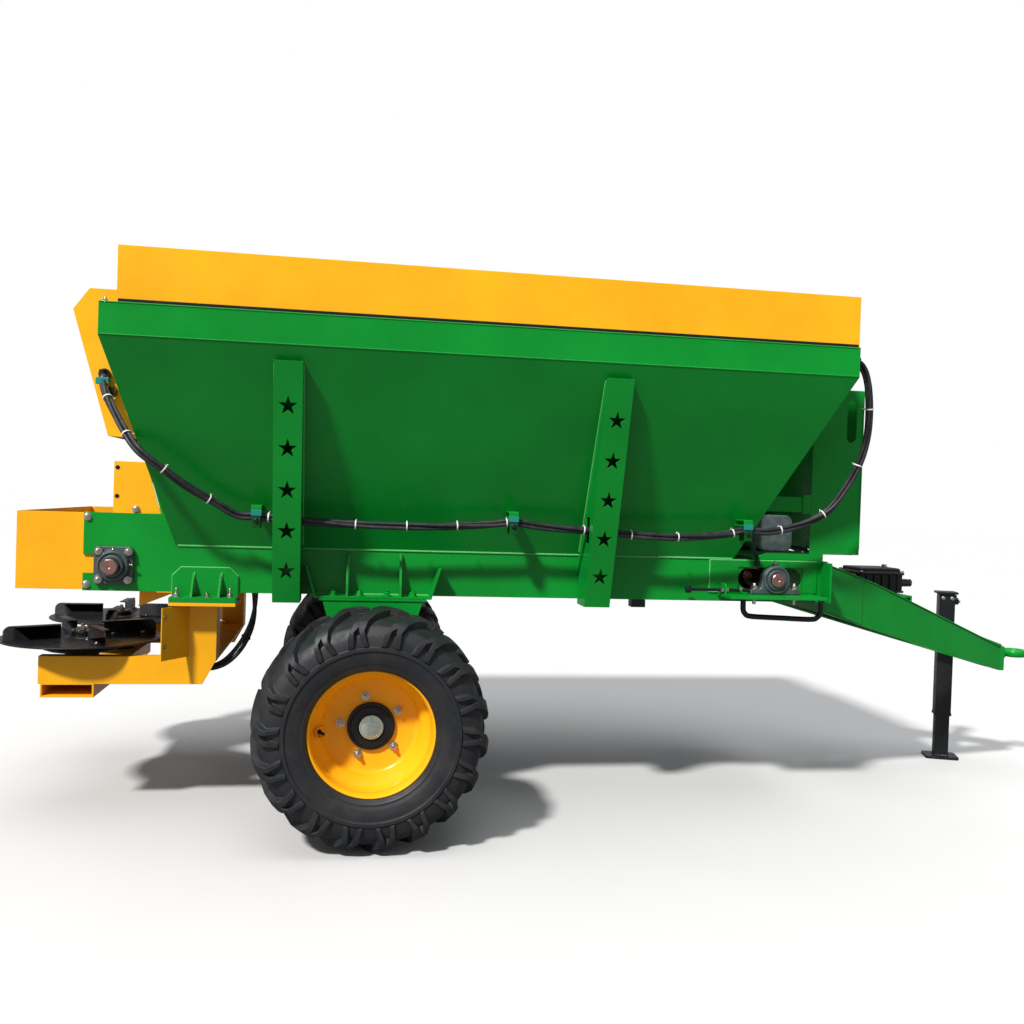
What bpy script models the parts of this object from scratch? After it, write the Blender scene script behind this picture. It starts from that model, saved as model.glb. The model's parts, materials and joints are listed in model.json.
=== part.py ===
"""Towed orchard manure spreader with a moving floor, a rear gate and two spinning discs.

Metres, +X forward (towards the hitch), +Y to the machine's left, +Z up.
Every place is worked out in the axle frame: x = 0 at the wheel axle, y = 0 on the centre line and
z = 0 on the ground.  One empty carries the whole machine, so that the world origin lies under the
middle of its bounding box.
"""
import bmesh
import bpy
from math import atan2, cos, pi, radians, sin
from mathutils import Matrix, Vector

# ---------------------------------------------------------------- driving dimensions, in metres
GAP = 0.0003                # clearance left between faces that touch
STEEL = 0.004               # sheet of the hopper
PLATE = 0.008               # plate of the frame

TYRE_DIAMETER = 0.787       # 31 x 15.5 - 15 flotation tyre
TYRE_WIDTH = 0.394
RIM_SEAT_RADIUS = 0.1905    # 15 inch bead seat
RIM_WIDTH = 0.330
WHEEL_STEPS = 32
WHEEL_CLEARANCE = 0.021     # between the tyre and the axle's pedestal
DISH = 0.030                # the wheel's disc lies this far outside the tyre's centre plane

FRAME_REAR = -1.010         # side plates, from the axle
FRAME_FRONT = 1.764
FRAME_HEIGHT = 0.165
FRAME_REAR_RISE = 0.111     # extra height behind the hopper
FRAME_HALF_WIDTH = 0.500
FRAME_OVER_TYRE = 0.013     # the frame's underside above the tyre's top

HOPPER_RISE = 0.684         # sloping walls, from the frame up to the upright rim
SIDE_SPREAD = 0.350         # how far each wall leans out over that rise
REAR_SPREAD = 0.197
FRONT_SPREAD = 0.310
OUTLET_SETBACK = 0.311      # foot of the rear wall, from the frame's rear end
FRONT_SETBACK = 0.374       # foot of the front wall, from its front end
RIM_HEIGHT = 0.106
RIM_RETURN = 0.050          # width of the fold along the rim's top
EXTENSION_HEIGHT = 0.187
EXTENSION_INSET = 0.028
OUTLET_MARGIN = 0.080       # outlet's edge inside the frame's half width
OUTLET_HEIGHT = 0.295

POST_STATIONS = (-0.304, 0.818)
POST_WIDTH = 0.095
POST_DROP = 0.051           # post's head below the rim
POST_UNDER = 0.019          # post's foot below the frame
POST_FOOT_OUT = 0.120       # how far the post stands off the frame at its foot
POST_HEAD_OUT = 0.030       # and off the hopper wall at its head
STAR_RADIUS = 0.033
STAR_MARGIN = 0.113         # lowest star above the post's foot
STAR_PITCH = 0.140
STAR_COUNT = 5

SHAFT_LIFT = 0.090          # both shafts of the moving floor above the frame's underside
SHAFT_RADIUS = 0.0275
REAR_SHAFT_SETBACK = 0.105
FRONT_SHAFT_SETBACK = 0.219
SHAFT_STICKOUT = 0.078
SPROCKET_RADIUS = 0.045
CHAIN_THICKNESS = 0.008
SLAT_HEIGHT = 0.018
SLAT_WIDTH = 0.030
SLAT_COUNT = 10             # on each strand
APRON_MARGIN = 0.100        # between the slats' ends and the frame's outer face
PILLOW_HEIGHT = 0.057       # shaft centre above its shelf
SHELF_THICKNESS = 0.012
SHELF_OUT = 0.140
SHELF_BEHIND = 0.215        # shelf behind and ahead of the front shaft
SHELF_AHEAD = 0.175
SLOT_HALF_LENGTH = 0.090    # slot that lets the front shaft be tightened
SLOT_RADIUS = 0.042

GATE_THICKNESS = 0.006
GATE_OVERLAP = 0.035        # gate beyond the outlet's sides
GATE_HEAD = 0.050           # and above its top
GATE_LIFT_OFF = 0.020       # gate's lower edge above the frame's top
GATE_TRAVEL = 0.240
GATE_CLEARANCE = 0.006
GATE_FOLD = 0.030
RAIL_DEPTH = 0.022
RAIL_SHEET = 0.004
RAIL_HEADROOM = 0.099       # gate rails' heads below the rim
HOOD_ABOVE_GATE = 0.025
HOOD_HEADROOM = 0.028       # over the cylinder's head
HOOD_DEPTH = 0.130
HOOD_CHAMFER = 0.075
CYLINDER_OFFSET = 0.055     # of the cylinder's centre line behind the rear wall
CYLINDER_RADIUS = 0.022
ROD_RADIUS = 0.011

BOX_LENGTH = 0.223          # discharge box behind the frame
BOX_SHEET = 0.004
CHUTE_DROP = 0.065          # lowest edge of the lip below the frame
CHUTE_SHEET = 0.003
CHEEK_HEIGHT = 0.182        # outlet cheek above the frame's rear top

DISC_SETBACK = 0.042        # discs' centres behind the frame's rear end
DISC_Y = 0.310
DISC_RADIUS = 0.283
DISC_PLATE = 0.006
DISC_OVER_ARM = 0.036
BLADE_COUNT = 4
BLADE_HEIGHT = 0.052
BLADE_FLANGE = 0.026
BLADE_SHEET = 0.004
BLADE_INNER = 0.075
MOTOR_RADIUS = 0.060
CONE_RADIUS = 0.135

ARM_OVERHANG = 0.097        # spinner frame's arms behind the discs' centres
ARM_HEIGHT = 0.098
ARM_DROP = 0.232            # arms' top below the frame's underside
ARM_SHEET = 0.006
ARM_FLANGE = 0.045
COLUMN_DEPTH = 0.102
COLUMN_AHEAD = 0.117        # column's rear face ahead of the disc's tip
COLUMN_DROP = 0.030
COLUMN_CORNER = 0.085       # chamfer at the foot of the column
CHANNEL_WIDTH = 0.178
CHANNEL_HEIGHT = 0.050
BRACKET_MARGIN = (0.055, 0.070)
BRACKET_OUT = 0.075
BRACKET_HEIGHT = 0.119
BRACKET_FOOT = 0.018

AXLE_SIZE = 0.080
STUB_RADIUS = 0.025
PEDESTAL_TOP_HALF = 0.180
PEDESTAL_FOOT_HALF = 0.075
PEDESTAL_WIDTH = 0.140
PEDESTAL_OUTSET = 0.070     # pedestal's outer face outside the frame
TRAY_HALF_LENGTH = 0.210
TRAY_MOUTH_HALF = 0.244
TRAY_HEIGHT = 0.115

FRONT_PLATE = 0.0207        # drawbar and the plate it is bolted to
BEAM_INSET = 0.040
BEAM_REAR_HEIGHT = 0.197
BEAM_KNEE = 0.285           # the beams' slight bend, ahead of their rear ends
BEAM_KNEE_HEIGHT = 0.192
BEAM_KNEE_FALL = 0.087
BEAM_LENGTH = 1.085
BEAM_FRONT_Y = 0.070
BEAM_FRONT_HEIGHT = 0.110
BEAM_FLANGE = 0.045
HEAD_LENGTH = 0.022         # plate across the beams' front ends
EYE_REACH = 0.120
EYE_Z = 0.528
EYE_RADIUS = 0.055
EYE_BORE = 0.026
EYE_THICKNESS = 0.034

JACK_BEHIND = 0.133         # jack behind the left beam's front end
JACK_SIZE = 0.070
JACK_WALL = 0.005
JACK_TOP = 0.785
JACK_TUBE_BOTTOM = 0.205
LEG_CLEARANCE = 0.0005
LEG_TOP = 0.420
FOOT_SIZE = 0.150
FOOT_THICKNESS = 0.012
JACK_CAP = 0.092

COVER_BEHIND = 0.044        # front cover over the frame's front end
COVER_AHEAD = 0.168
COVER_INSET = 0.030
DECK_HEIGHT = 0.025
STRUT_LIFT = 0.190
STRUT_HEIGHT = 0.060
TANK_LENGTH = 0.140
TANK_HEIGHT = 0.150
TANK_HALF_WIDTH = 0.360
TANK_BEHIND = 0.064

BOX_X = 0.080               # drive block ahead of the beams' knee
BOX_SIZE = (0.210, 0.200, 0.109)
BOX_SINK = 0.062            # its seat below the knee's top
INPUT_DROP = 0.070          # input shaft below the block's top
INPUT_RADIUS = 0.0175

HOSE_RADIUS = 0.016
HOSE_POINTS = (             # hose bundle along the right-hand side, from the gate to the front rim
    (-0.952, -0.5175, 1.545), (-0.940, -0.560, 1.505), (-0.900, -0.620, 1.435), (-0.845, -0.690, 1.360),
    (-0.785, -0.738, 1.290), (-0.710, -0.730, 1.235), (-0.640, -0.700, 1.180), (-0.560, -0.660, 1.130),
    (-0.480, -0.638, 1.084), (-0.410, -0.632, 1.080), (-0.304, -0.630, 1.075), (-0.220, -0.630, 1.068),
    (-0.030, -0.630, 1.060), (0.210, -0.630, 1.064), (0.400, -0.630, 1.074), (0.490, -0.632, 1.084),
    (0.590, -0.630, 1.074), (0.730, -0.630, 1.066), (0.818, -0.630, 1.060), (0.910, -0.630, 1.052),
    (1.090, -0.630, 1.048), (1.290, -0.630, 1.062), (1.380, -0.632, 1.080), (1.460, -0.632, 1.076),
    (1.560, -0.630, 1.096), (1.650, -0.634, 1.130), (1.720, -0.645, 1.180), (1.780, -0.662, 1.280),
    (1.815, -0.680, 1.380), (1.825, -0.700, 1.500), (1.808, -0.720, 1.640), (1.768, -0.735, 1.710),
    (1.7165, -0.740, 1.725),
)
HOSE_SPACING = 0.070
SHORT_SPACING = 0.022
CLIP_WIDTH = 0.036
CLIP_SHEET = 0.005
HOSE_CLIPS = (9, 15, 22)     # points of the route where a tab on the hopper holds it

# ---------------------------------------------------------------- derived places
WHEEL_Z = TYRE_DIAMETER / 2.0
FRAME_BOTTOM = TYRE_DIAMETER + FRAME_OVER_TYRE
FRAME_TOP = FRAME_BOTTOM + FRAME_HEIGHT
FRAME_REAR_TOP = FRAME_TOP + FRAME_REAR_RISE
SIDE_INNER = FRAME_HALF_WIDTH - PLATE
PEDESTAL_OUT = FRAME_HALF_WIDTH + PEDESTAL_OUTSET
PEDESTAL_IN = PEDESTAL_OUT - PEDESTAL_WIDTH
TRACK = 2.0 * (PEDESTAL_OUT + WHEEL_CLEARANCE) + TYRE_WIDTH

HOPPER_FLOOR_REAR = FRAME_REAR + OUTLET_SETBACK
HOPPER_FLOOR_FRONT = FRAME_FRONT - FRONT_SETBACK
HOPPER_REAR = HOPPER_FLOOR_REAR - REAR_SPREAD
HOPPER_FRONT = HOPPER_FLOOR_FRONT + FRONT_SPREAD
HOPPER_HALF_WIDTH = FRAME_HALF_WIDTH + SIDE_SPREAD
HOPPER_TOP = FRAME_TOP + HOPPER_RISE
RIM_TOP = HOPPER_TOP + RIM_HEIGHT
EXTENSION_BOTTOM = RIM_TOP + GAP
EXTENSION_TOP = RIM_TOP + EXTENSION_HEIGHT
WALL_SLOPE = SIDE_SPREAD / HOPPER_RISE
REAR_SLOPE = REAR_SPREAD / HOPPER_RISE
FRONT_SLOPE = FRONT_SPREAD / HOPPER_RISE
REAR_LENGTH = (1.0 + REAR_SLOPE ** 2) ** 0.5
SIDE_SHEET = STEEL * (1.0 + WALL_SLOPE ** 2) ** 0.5      # wall measured across, along Y
REAR_SHEET = STEEL * REAR_LENGTH                         # and along X
FRONT_SHEET = STEEL * (1.0 + FRONT_SLOPE ** 2) ** 0.5
OUTLET_HALF_WIDTH = FRAME_HALF_WIDTH - OUTLET_MARGIN
OUTLET_TOP = FRAME_TOP + OUTLET_HEIGHT
POST_TOP = HOPPER_TOP - POST_DROP
POST_BOTTOM = FRAME_BOTTOM - POST_UNDER

SHAFT_Z = FRAME_BOTTOM + SHAFT_LIFT
REAR_SHAFT_X = FRAME_REAR + REAR_SHAFT_SETBACK
FRONT_SHAFT_X = FRAME_FRONT - FRONT_SHAFT_SETBACK
SHAFT_END = FRAME_HALF_WIDTH + SHAFT_STICKOUT
APRON_HALF_WIDTH = FRAME_HALF_WIDTH - APRON_MARGIN
LOOP_INNER = SPROCKET_RADIUS + GAP
LOOP_OUTER = LOOP_INNER + CHAIN_THICKNESS
FLOOR_TOP = SHAFT_Z + LOOP_INNER - GAP
SHELF_TOP = SHAFT_Z - PILLOW_HEIGHT

GATE_HALF_WIDTH = OUTLET_HALF_WIDTH + GATE_OVERLAP
GATE_BOTTOM = FRAME_TOP + GATE_LIFT_OFF
GATE_TOP = OUTLET_TOP + GATE_HEAD
BARREL_BOTTOM = GATE_TOP + GATE_TRAVEL + 0.010
BARREL_TOP = BARREL_BOTTOM + GATE_TRAVEL + 0.030
HOOD_BOTTOM = GATE_TOP + HOOD_ABOVE_GATE
HOOD_TOP = BARREL_TOP + HOOD_HEADROOM
BOX_REAR = FRAME_REAR - BOX_LENGTH
BOX_FRONT = REAR_SHAFT_X + 0.105
CHUTE_LOW = FRAME_BOTTOM - CHUTE_DROP

ARM_OUT = FRAME_HALF_WIDTH
ARM_TOP = FRAME_BOTTOM - ARM_DROP
ARM_BOTTOM = ARM_TOP - ARM_HEIGHT
DISC_X = FRAME_REAR - DISC_SETBACK
DISC_Z = ARM_TOP + DISC_OVER_ARM
ARM_REAR = DISC_X - ARM_OVERHANG
COLUMN_REAR = DISC_X + DISC_RADIUS + COLUMN_AHEAD
COLUMN_FRONT = COLUMN_REAR + COLUMN_DEPTH
COLUMN_TOP = FRAME_BOTTOM - COLUMN_DROP
BRACKET_REAR = COLUMN_REAR - BRACKET_MARGIN[0]
BRACKET_FRONT = COLUMN_FRONT + BRACKET_MARGIN[1]
BRACKET_TOP = COLUMN_TOP + BRACKET_HEIGHT
RIB_TOP = FRAME_TOP - 0.010

BEAM_REAR_X = FRAME_FRONT + FRONT_PLATE + 2 * GAP
BEAM_REAR_Y = FRAME_HALF_WIDTH - BEAM_INSET
BEAM_REAR_TOP = FRAME_TOP - 0.010
BEAM_REAR_BOTTOM = BEAM_REAR_TOP - BEAM_REAR_HEIGHT
BEAM_KNEE_X = BEAM_REAR_X + BEAM_KNEE
BEAM_KNEE_TOP = BEAM_REAR_TOP - BEAM_KNEE_FALL
BEAM_KNEE_BOTTOM = BEAM_KNEE_TOP - BEAM_KNEE_HEIGHT
BEAM_FRONT_X = BEAM_REAR_X + BEAM_LENGTH
BEAM_FRONT_TOP = EYE_Z + 0.039
BEAM_FRONT_BOTTOM = BEAM_FRONT_TOP - BEAM_FRONT_HEIGHT
BEAM_ANGLE = atan2(BEAM_REAR_Y - BEAM_FRONT_Y, BEAM_LENGTH)
EYE_X = BEAM_FRONT_X + EYE_REACH
JACK_X = BEAM_FRONT_X - JACK_BEHIND
LEG_SIZE = JACK_SIZE - 2 * (JACK_WALL + LEG_CLEARANCE)

COVER_REAR = FRAME_FRONT - COVER_BEHIND
COVER_FRONT = FRAME_FRONT + COVER_AHEAD
COVER_BOTTOM = FRAME_TOP + DECK_HEIGHT
COVER_TOP = HOPPER_TOP
COVER_HALF_WIDTH = FRAME_HALF_WIDTH - COVER_INSET
STRUT_BOTTOM = FRAME_TOP + STRUT_LIFT
STRUT_TOP = STRUT_BOTTOM + STRUT_HEIGHT
BOX_BACK = BEAM_KNEE_X + BOX_X
BOX_NOSE = BOX_BACK + BOX_SIZE[0]
BOX_SEAT = BEAM_KNEE_TOP - BOX_SINK
INPUT_Z = BOX_SEAT + BOX_SIZE[2] - INPUT_DROP

EYE_FRONT = EYE_X + EYE_RADIUS
DISC_REAR = DISC_X - DISC_RADIUS
AXLE_X = -(EYE_FRONT + DISC_REAR) / 2.0     # the axle, from the middle of the bounding box


def wall_y(z):
    """Outer half width of the hopper at height z."""
    return FRAME_HALF_WIDTH + WALL_SLOPE * (z - FRAME_TOP)


def rear_x(z):
    """Outer face of the hopper's rear wall at height z."""
    return HOPPER_FLOOR_REAR - REAR_SLOPE * (z - FRAME_TOP)


def front_x(z):
    """Outer face of the hopper's front wall at height z."""
    return HOPPER_FLOOR_FRONT + FRONT_SLOPE * (z - FRAME_TOP)


def beam_y(x):
    """Outer face of the left drawbar beam at station x."""
    share = (x - BEAM_REAR_X) / (BEAM_FRONT_X - BEAM_REAR_X)
    return BEAM_REAR_Y + share * (BEAM_FRONT_Y - BEAM_REAR_Y)


def post_face(z):
    """Outer face of a post at height z, a plane that leans with the hopper."""
    foot = FRAME_HALF_WIDTH + POST_FOOT_OUT
    head = wall_y(POST_TOP) + POST_HEAD_OUT
    return foot + (head - foot) * (z - POST_BOTTOM) / (POST_TOP - POST_BOTTOM)
# Hoses of the spinner motors: from the right side plate, down in front of the column, to the cross plate.
SPINNER_HOSE_POINTS = (
    (-0.431, GAP - SIDE_INNER, 0.848), (-0.431, -0.470, 0.848), (-0.430, -0.448, 0.838),
    (-0.428, -0.434, 0.812), (-0.426, -0.430, 0.770), (-0.428, -0.430, 0.720), (-0.440, -0.430, 0.665),
    (-0.465, -0.430, 0.610), (-0.495, -0.430, 0.568), (-0.528, -0.430, 0.538), (-0.566, -0.430, 0.521),
    (-0.606, -0.430, 0.517), (COLUMN_REAR + ARM_SHEET + GAP, -0.430, 0.517),
)


# ---------------------------------------------------------------- scene and materials
def clear_scene():
    for old in list(bpy.data.objects):
        bpy.data.objects.remove(old, do_unlink=True)


def paint(name, colour, roughness, metallic=0.0):
    material = bpy.data.materials.new(name)
    material.use_nodes = True
    shader = material.node_tree.nodes["Principled BSDF"]
    shader.inputs["Base Color"].default_value = (*colour, 1.0)
    shader.inputs["Roughness"].default_value = roughness
    shader.inputs["Metallic"].default_value = metallic
    return material


clear_scene()
MACHINE = bpy.data.objects.new("axle_point", None)
MACHINE.location = (AXLE_X, 0.0, 0.0)
bpy.context.scene.collection.objects.link(MACHINE)

GREEN = paint("green_paint", (0.005, 0.33, 0.022), 0.35)
AMBER = paint("amber_paint", (1.0, 0.47, 0.014), 0.38)
BLACK = paint("black_paint", (0.012, 0.013, 0.015), 0.45)
RUBBER = paint("tyre_rubber", (0.028, 0.030, 0.033), 0.85)
STEEL_BARE = paint("bare_steel", (0.48, 0.36, 0.32), 0.35, 1.0)
CASTING = paint("grey_casting", (0.055, 0.075, 0.080), 0.55)
HOSE = paint("hose_rubber", (0.010, 0.010, 0.011), 0.6)


# ---------------------------------------------------------------- mesh helpers
def skin(bm, sections, closed=False):
    """Join equal rings of points into one body, capped at both ends unless it closes on itself."""
    rings = [[bm.verts.new(point) for point in section] for section in sections]
    count = len(rings[0])
    pairs = list(zip(rings, rings[1:]))
    if closed:
        pairs.append((rings[-1], rings[0]))
    else:
        bm.faces.new(rings[0])
        bm.faces.new(rings[-1])
    for first, second in pairs:
        for i in range(count):
            j = (i + 1) % count
            bm.faces.new((first[i], first[j], second[j], second[i]))


def prism(bm, outline, axis, low, high):
    """Extrude a flat outline along X, Y or Z; its points hold the two other axes in X, Y, Z order."""
    def point(pair, height):
        if axis == "X":
            return (height, pair[0], pair[1])
        if axis == "Y":
            return (pair[0], height, pair[1])
        return (pair[0], pair[1], height)
    skin(bm, [[point(pair, height) for pair in outline] for height in (low, high)])


def block(bm, x, y, z):
    """Box between three (low, high) pairs."""
    prism(bm, [(x[0], y[0]), (x[1], y[0]), (x[1], y[1]), (x[0], y[1])], "Z", z[0], z[1])


def turned(bm, profile, centre, axis, steps, phase=0.0):
    """Turn a closed profile of (radius, height) points about an axis through centre."""
    rings = []
    for radius, height in profile:
        ring = []
        for k in range(1 if radius < 1e-9 else steps):
            angle = phase + 2.0 * pi * k / steps
            across = (radius * cos(angle), radius * sin(angle))
            if axis == "X":
                offset = (height, across[0], across[1])
            elif axis == "Y":
                offset = (across[0], height, across[1])
            else:
                offset = (across[0], across[1], height)
            ring.append(bm.verts.new(Vector(centre) + Vector(offset)))
        rings.append(ring)
    for first, second in zip(rings, rings[1:] + rings[:1]):
        if len(first) == 1 and len(second) == 1:
            continue
        for k in range(steps):
            corners = (first[k % len(first)], first[(k + 1) % len(first)],
                       second[(k + 1) % len(second)], second[k % len(second)])
            bm.faces.new(list(dict.fromkeys(corners)))


def arc(centre, radius, start, end, steps):
    """Points on an arc, angles in radians."""
    angles = [start + (end - start) * k / steps for k in range(steps + 1)]
    return [(centre[0] + radius * cos(a), centre[1] + radius * sin(a)) for a in angles]


def place(name, bm, material, origin=(0.0, 0.0, 0.0), smooth=False):
    """Make an object from a bmesh drawn in the axle frame, with its own origin on a joint's axis."""
    bmesh.ops.recalc_face_normals(bm, faces=bm.faces[:])
    bmesh.ops.translate(bm, verts=bm.verts[:], vec=-Vector(origin))
    mesh = bpy.data.meshes.new(name)
    bm.to_mesh(mesh)
    bm.free()
    if smooth:
        mesh.shade_smooth()
        mesh.set_sharp_from_angle(angle=radians(35.0))
    obj = bpy.data.objects.new(name, mesh)
    bpy.context.scene.collection.objects.link(obj)
    obj.parent = MACHINE
    obj.location = origin
    obj.data.materials.append(material)
    return obj


def work(obj, operation, draw):
    """Add to an object, or cut from it, the body that draw makes in the axle frame."""
    bm = bmesh.new()
    draw(bm)
    tool = place(obj.name + "_tool", bm, obj.data.materials[0])
    tool.hide_render = True
    tool.display_type = "WIRE"
    modifier = obj.modifiers.new(operation.lower(), "BOOLEAN")
    modifier.operation = operation
    modifier.solver = "EXACT"
    modifier.object = tool


def join(obj, draw):
    work(obj, "UNION", draw)


def cut(obj, draw):
    work(obj, "DIFFERENCE", draw)


def sides():
    """Name and sign of Y of the machine's two sides."""
    return (("right", -1.0), ("left", 1.0))


def across(sign, near, far):
    """Low and high Y of a piece between two distances from the centre line, on one side."""
    return (min(sign * near, sign * far), max(sign * near, sign * far))


# ---------------------------------------------------------------- chassis
def side_plate(name, sign):
    """Frame side: one long plate, taller behind the hopper, with the front shelf and its end flange."""
    bm = bmesh.new()
    notch = (SHAFT_Z - 0.028, SHAFT_Z + 0.038)
    slit = FRAME_REAR + 0.044
    raised = (rear_x(FRAME_TOP) - GAP, rear_x(FRAME_REAR_TOP) - GAP)
    outline = [(FRAME_REAR, FRAME_BOTTOM), (FRAME_FRONT, FRAME_BOTTOM), (FRAME_FRONT, FRAME_TOP - GAP),
               (raised[0], FRAME_TOP - GAP), (raised[1], FRAME_REAR_TOP), (FRAME_REAR, FRAME_REAR_TOP),
               (FRAME_REAR, notch[1]), (slit, notch[1]), (slit, notch[0]), (FRAME_REAR, notch[0])]
    low, high = across(sign, SIDE_INNER, FRAME_HALF_WIDTH)
    prism(bm, outline, "Y", low, high)
    plate = place(name, bm, GREEN)
    shelf = across(sign, FRAME_HALF_WIDTH - 0.002, FRAME_HALF_WIDTH + SHELF_OUT)
    join(plate, lambda b: block(b, (FRONT_SHAFT_X - SHELF_BEHIND, FRONT_SHAFT_X + SHELF_AHEAD), shelf,
                                (SHELF_TOP - SHELF_THICKNESS, SHELF_TOP)))
    flange = across(sign, FRAME_HALF_WIDTH - 0.002, FRAME_HALF_WIDTH + 0.080)
    join(plate, lambda b: block(b, (FRAME_FRONT - PLATE, FRAME_FRONT), flange,
                                (FRAME_BOTTOM + 0.005, FRAME_TOP - 0.005)))
    hole = across(sign, SIDE_INNER - 0.01, FRAME_HALF_WIDTH + 0.01)
    slot = (arc((FRONT_SHAFT_X + SLOT_HALF_LENGTH, SHAFT_Z), SLOT_RADIUS, -pi / 2, pi / 2, 8)
            + arc((FRONT_SHAFT_X - SLOT_HALF_LENGTH, SHAFT_Z), SLOT_RADIUS, pi / 2, 3 * pi / 2, 8))
    cut(plate, lambda b: prism(b, slot, "Y", hole[0], hole[1]))
    ring = arc((REAR_SHAFT_X, SHAFT_Z), SHAFT_RADIUS + 0.008, 0.0, 2 * pi * 23 / 24, 23)
    cut(plate, lambda b: prism(b, ring, "Y", hole[0], hole[1]))
    return plate


def underframe():
    """Cross members under the floor, on one long rail."""
    half = SIDE_INNER - GAP
    top = FLOOR_TOP - STEEL - GAP
    bottom = SHAFT_Z - LOOP_INNER + 0.004
    width = 0.060
    first = HOPPER_FLOOR_REAR + 0.099
    last = FRONT_SHAFT_X - 0.245
    stations = [first + (last - first) * k / 4 for k in range(5)]
    bm = bmesh.new()
    block(bm, (first, last), (-0.020, 0.020), (bottom, top))
    frame = place("underframe", bm, GREEN)
    for x in stations:
        join(frame, lambda b, x=x: block(b, (x - width / 2, x + width / 2), (-half, half), (bottom, top)))
    return frame


def front_plate():
    """Upright plate across the front of the frame."""
    bm = bmesh.new()
    x = (FRAME_FRONT + GAP, FRAME_FRONT + GAP + FRONT_PLATE)
    block(bm, x, (-FRAME_HALF_WIDTH, FRAME_HALF_WIDTH), (BEAM_REAR_BOTTOM, FRAME_TOP - 0.003))
    return place("front_plate", bm, GREEN)


def floor_plate():
    """Steel floor that the upper strand of the moving floor slides on."""
    half = SIDE_INNER - BOX_SHEET - 2 * GAP
    bm = bmesh.new()
    rear = REAR_SHAFT_X + LOOP_OUTER + 0.010
    front = FRONT_SHAFT_X - LOOP_OUTER - 0.010
    block(bm, (rear, front), (-half, half), (FLOOR_TOP - STEEL, FLOOR_TOP - GAP))
    return place("floor_plate", bm, GREEN)


# ---------------------------------------------------------------- hopper
def hopper_side(name, sign):
    """Sloping side wall, its edges flush with the outer faces of the end walls."""
    bm = bmesh.new()
    top = HOPPER_TOP - GAP
    sections = []
    for z in (FRAME_TOP, top):
        outer = sign * wall_y(z)
        inner = sign * (wall_y(z) - SIDE_SHEET)
        sections.append([(rear_x(z), outer, z), (front_x(z), outer, z),
                         (front_x(z), inner, z), (rear_x(z), inner, z)])
    skin(bm, sections)
    wall = place(name, bm, GREEN)
    if sign < 0:
        for index in HOSE_CLIPS:
            x, y, z = HOSE_POINTS[index]
            level = z + HOSE_RADIUS + 3 * GAP
            tab = across(sign, wall_y(level) - 0.002, abs(y) + HOSE_RADIUS)
            width = (x - CLIP_WIDTH / 2, x + CLIP_WIDTH / 2)
            rise = (level, level + CLIP_SHEET)
            join(wall, lambda b, width=width, tab=tab, rise=rise: block(b, width, tab, rise))
    return wall


def hopper_front():
    """Sloping front wall between the side walls."""
    bm = bmesh.new()
    sections = []
    for z in (FRAME_TOP, HOPPER_TOP - GAP):
        half = wall_y(z) - SIDE_SHEET - GAP
        outer = front_x(z)
        inner = outer - FRONT_SHEET
        sections.append([(outer, -half, z), (outer, half, z), (inner, half, z), (inner, -half, z)])
    skin(bm, sections)
    return place("hopper_front", bm, GREEN)


def on_rear_wall(offset, y, z):
    """Point at height z that lies offset behind the rear wall's outer face, measured along X."""
    return (rear_x(z) - offset, y, z)


def rear_prism(bm, outline, near, far):
    """Extrude an outline of (y, z) points square to X between two offsets behind the rear wall."""
    skin(bm, [[on_rear_wall(offset, y, z) for y, z in outline] for offset in (near, far)])


def hopper_rear():
    """Sloping rear wall with the outlet at its foot and a guide rail on each side of the gate."""
    bm = bmesh.new()
    top = HOPPER_TOP - GAP

    def edge(z):
        return wall_y(z) - SIDE_SHEET - GAP
    outline = [(-edge(FRAME_TOP), FRAME_TOP), (-OUTLET_HALF_WIDTH, FRAME_TOP),
               (-OUTLET_HALF_WIDTH, OUTLET_TOP), (OUTLET_HALF_WIDTH, OUTLET_TOP),
               (OUTLET_HALF_WIDTH, FRAME_TOP), (edge(FRAME_TOP), FRAME_TOP),
               (edge(top), top), (-edge(top), top)]
    rear_prism(bm, outline, -REAR_SHEET, 0.0)
    wall = place("hopper_rear", bm, GREEN)
    for _, sign in sides():
        low, high = across(sign, GATE_HALF_WIDTH + GATE_CLEARANCE, SIDE_INNER - 0.002)
        foot = GATE_BOTTOM - 0.010
        head = HOPPER_TOP - RAIL_HEADROOM
        rail = [(low, foot), (high, foot), (high, head), (low, head)]
        join(wall, lambda b, rail=rail: rear_prism(b, rail, -0.001, RAIL_DEPTH))
        low, high = across(sign, GATE_HALF_WIDTH - 0.020, SIDE_INNER - 0.002)
        lip = [(low, foot), (high, foot), (high, head), (low, head)]
        join(wall, lambda b, lip=lip: rear_prism(b, lip, RAIL_DEPTH - RAIL_SHEET, RAIL_DEPTH))
        low, high = across(sign, GATE_HALF_WIDTH - 0.020, SIDE_INNER - 0.003)
        under = GATE_BOTTOM - GAP
        stop = [(low, under - 0.012), (high, under - 0.012), (high, under), (low, under)]
        join(wall, lambda b, stop=stop: rear_prism(b, stop, -0.001, RAIL_DEPTH - 0.001))
    return wall


def folded_ring(bm, section, x, half):
    """Sweep a closed section of (inset, z) points round a rectangle, mitred at its corners."""
    rings = []
    for sx, sy in ((0, -1), (1, -1), (1, 1), (0, 1)):
        ring = []
        for inset, z in section:
            ring.append((x[1] - inset if sx else x[0] + inset, sy * (half - inset), z))
        rings.append(ring)
    skin(bm, rings, closed=True)


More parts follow.
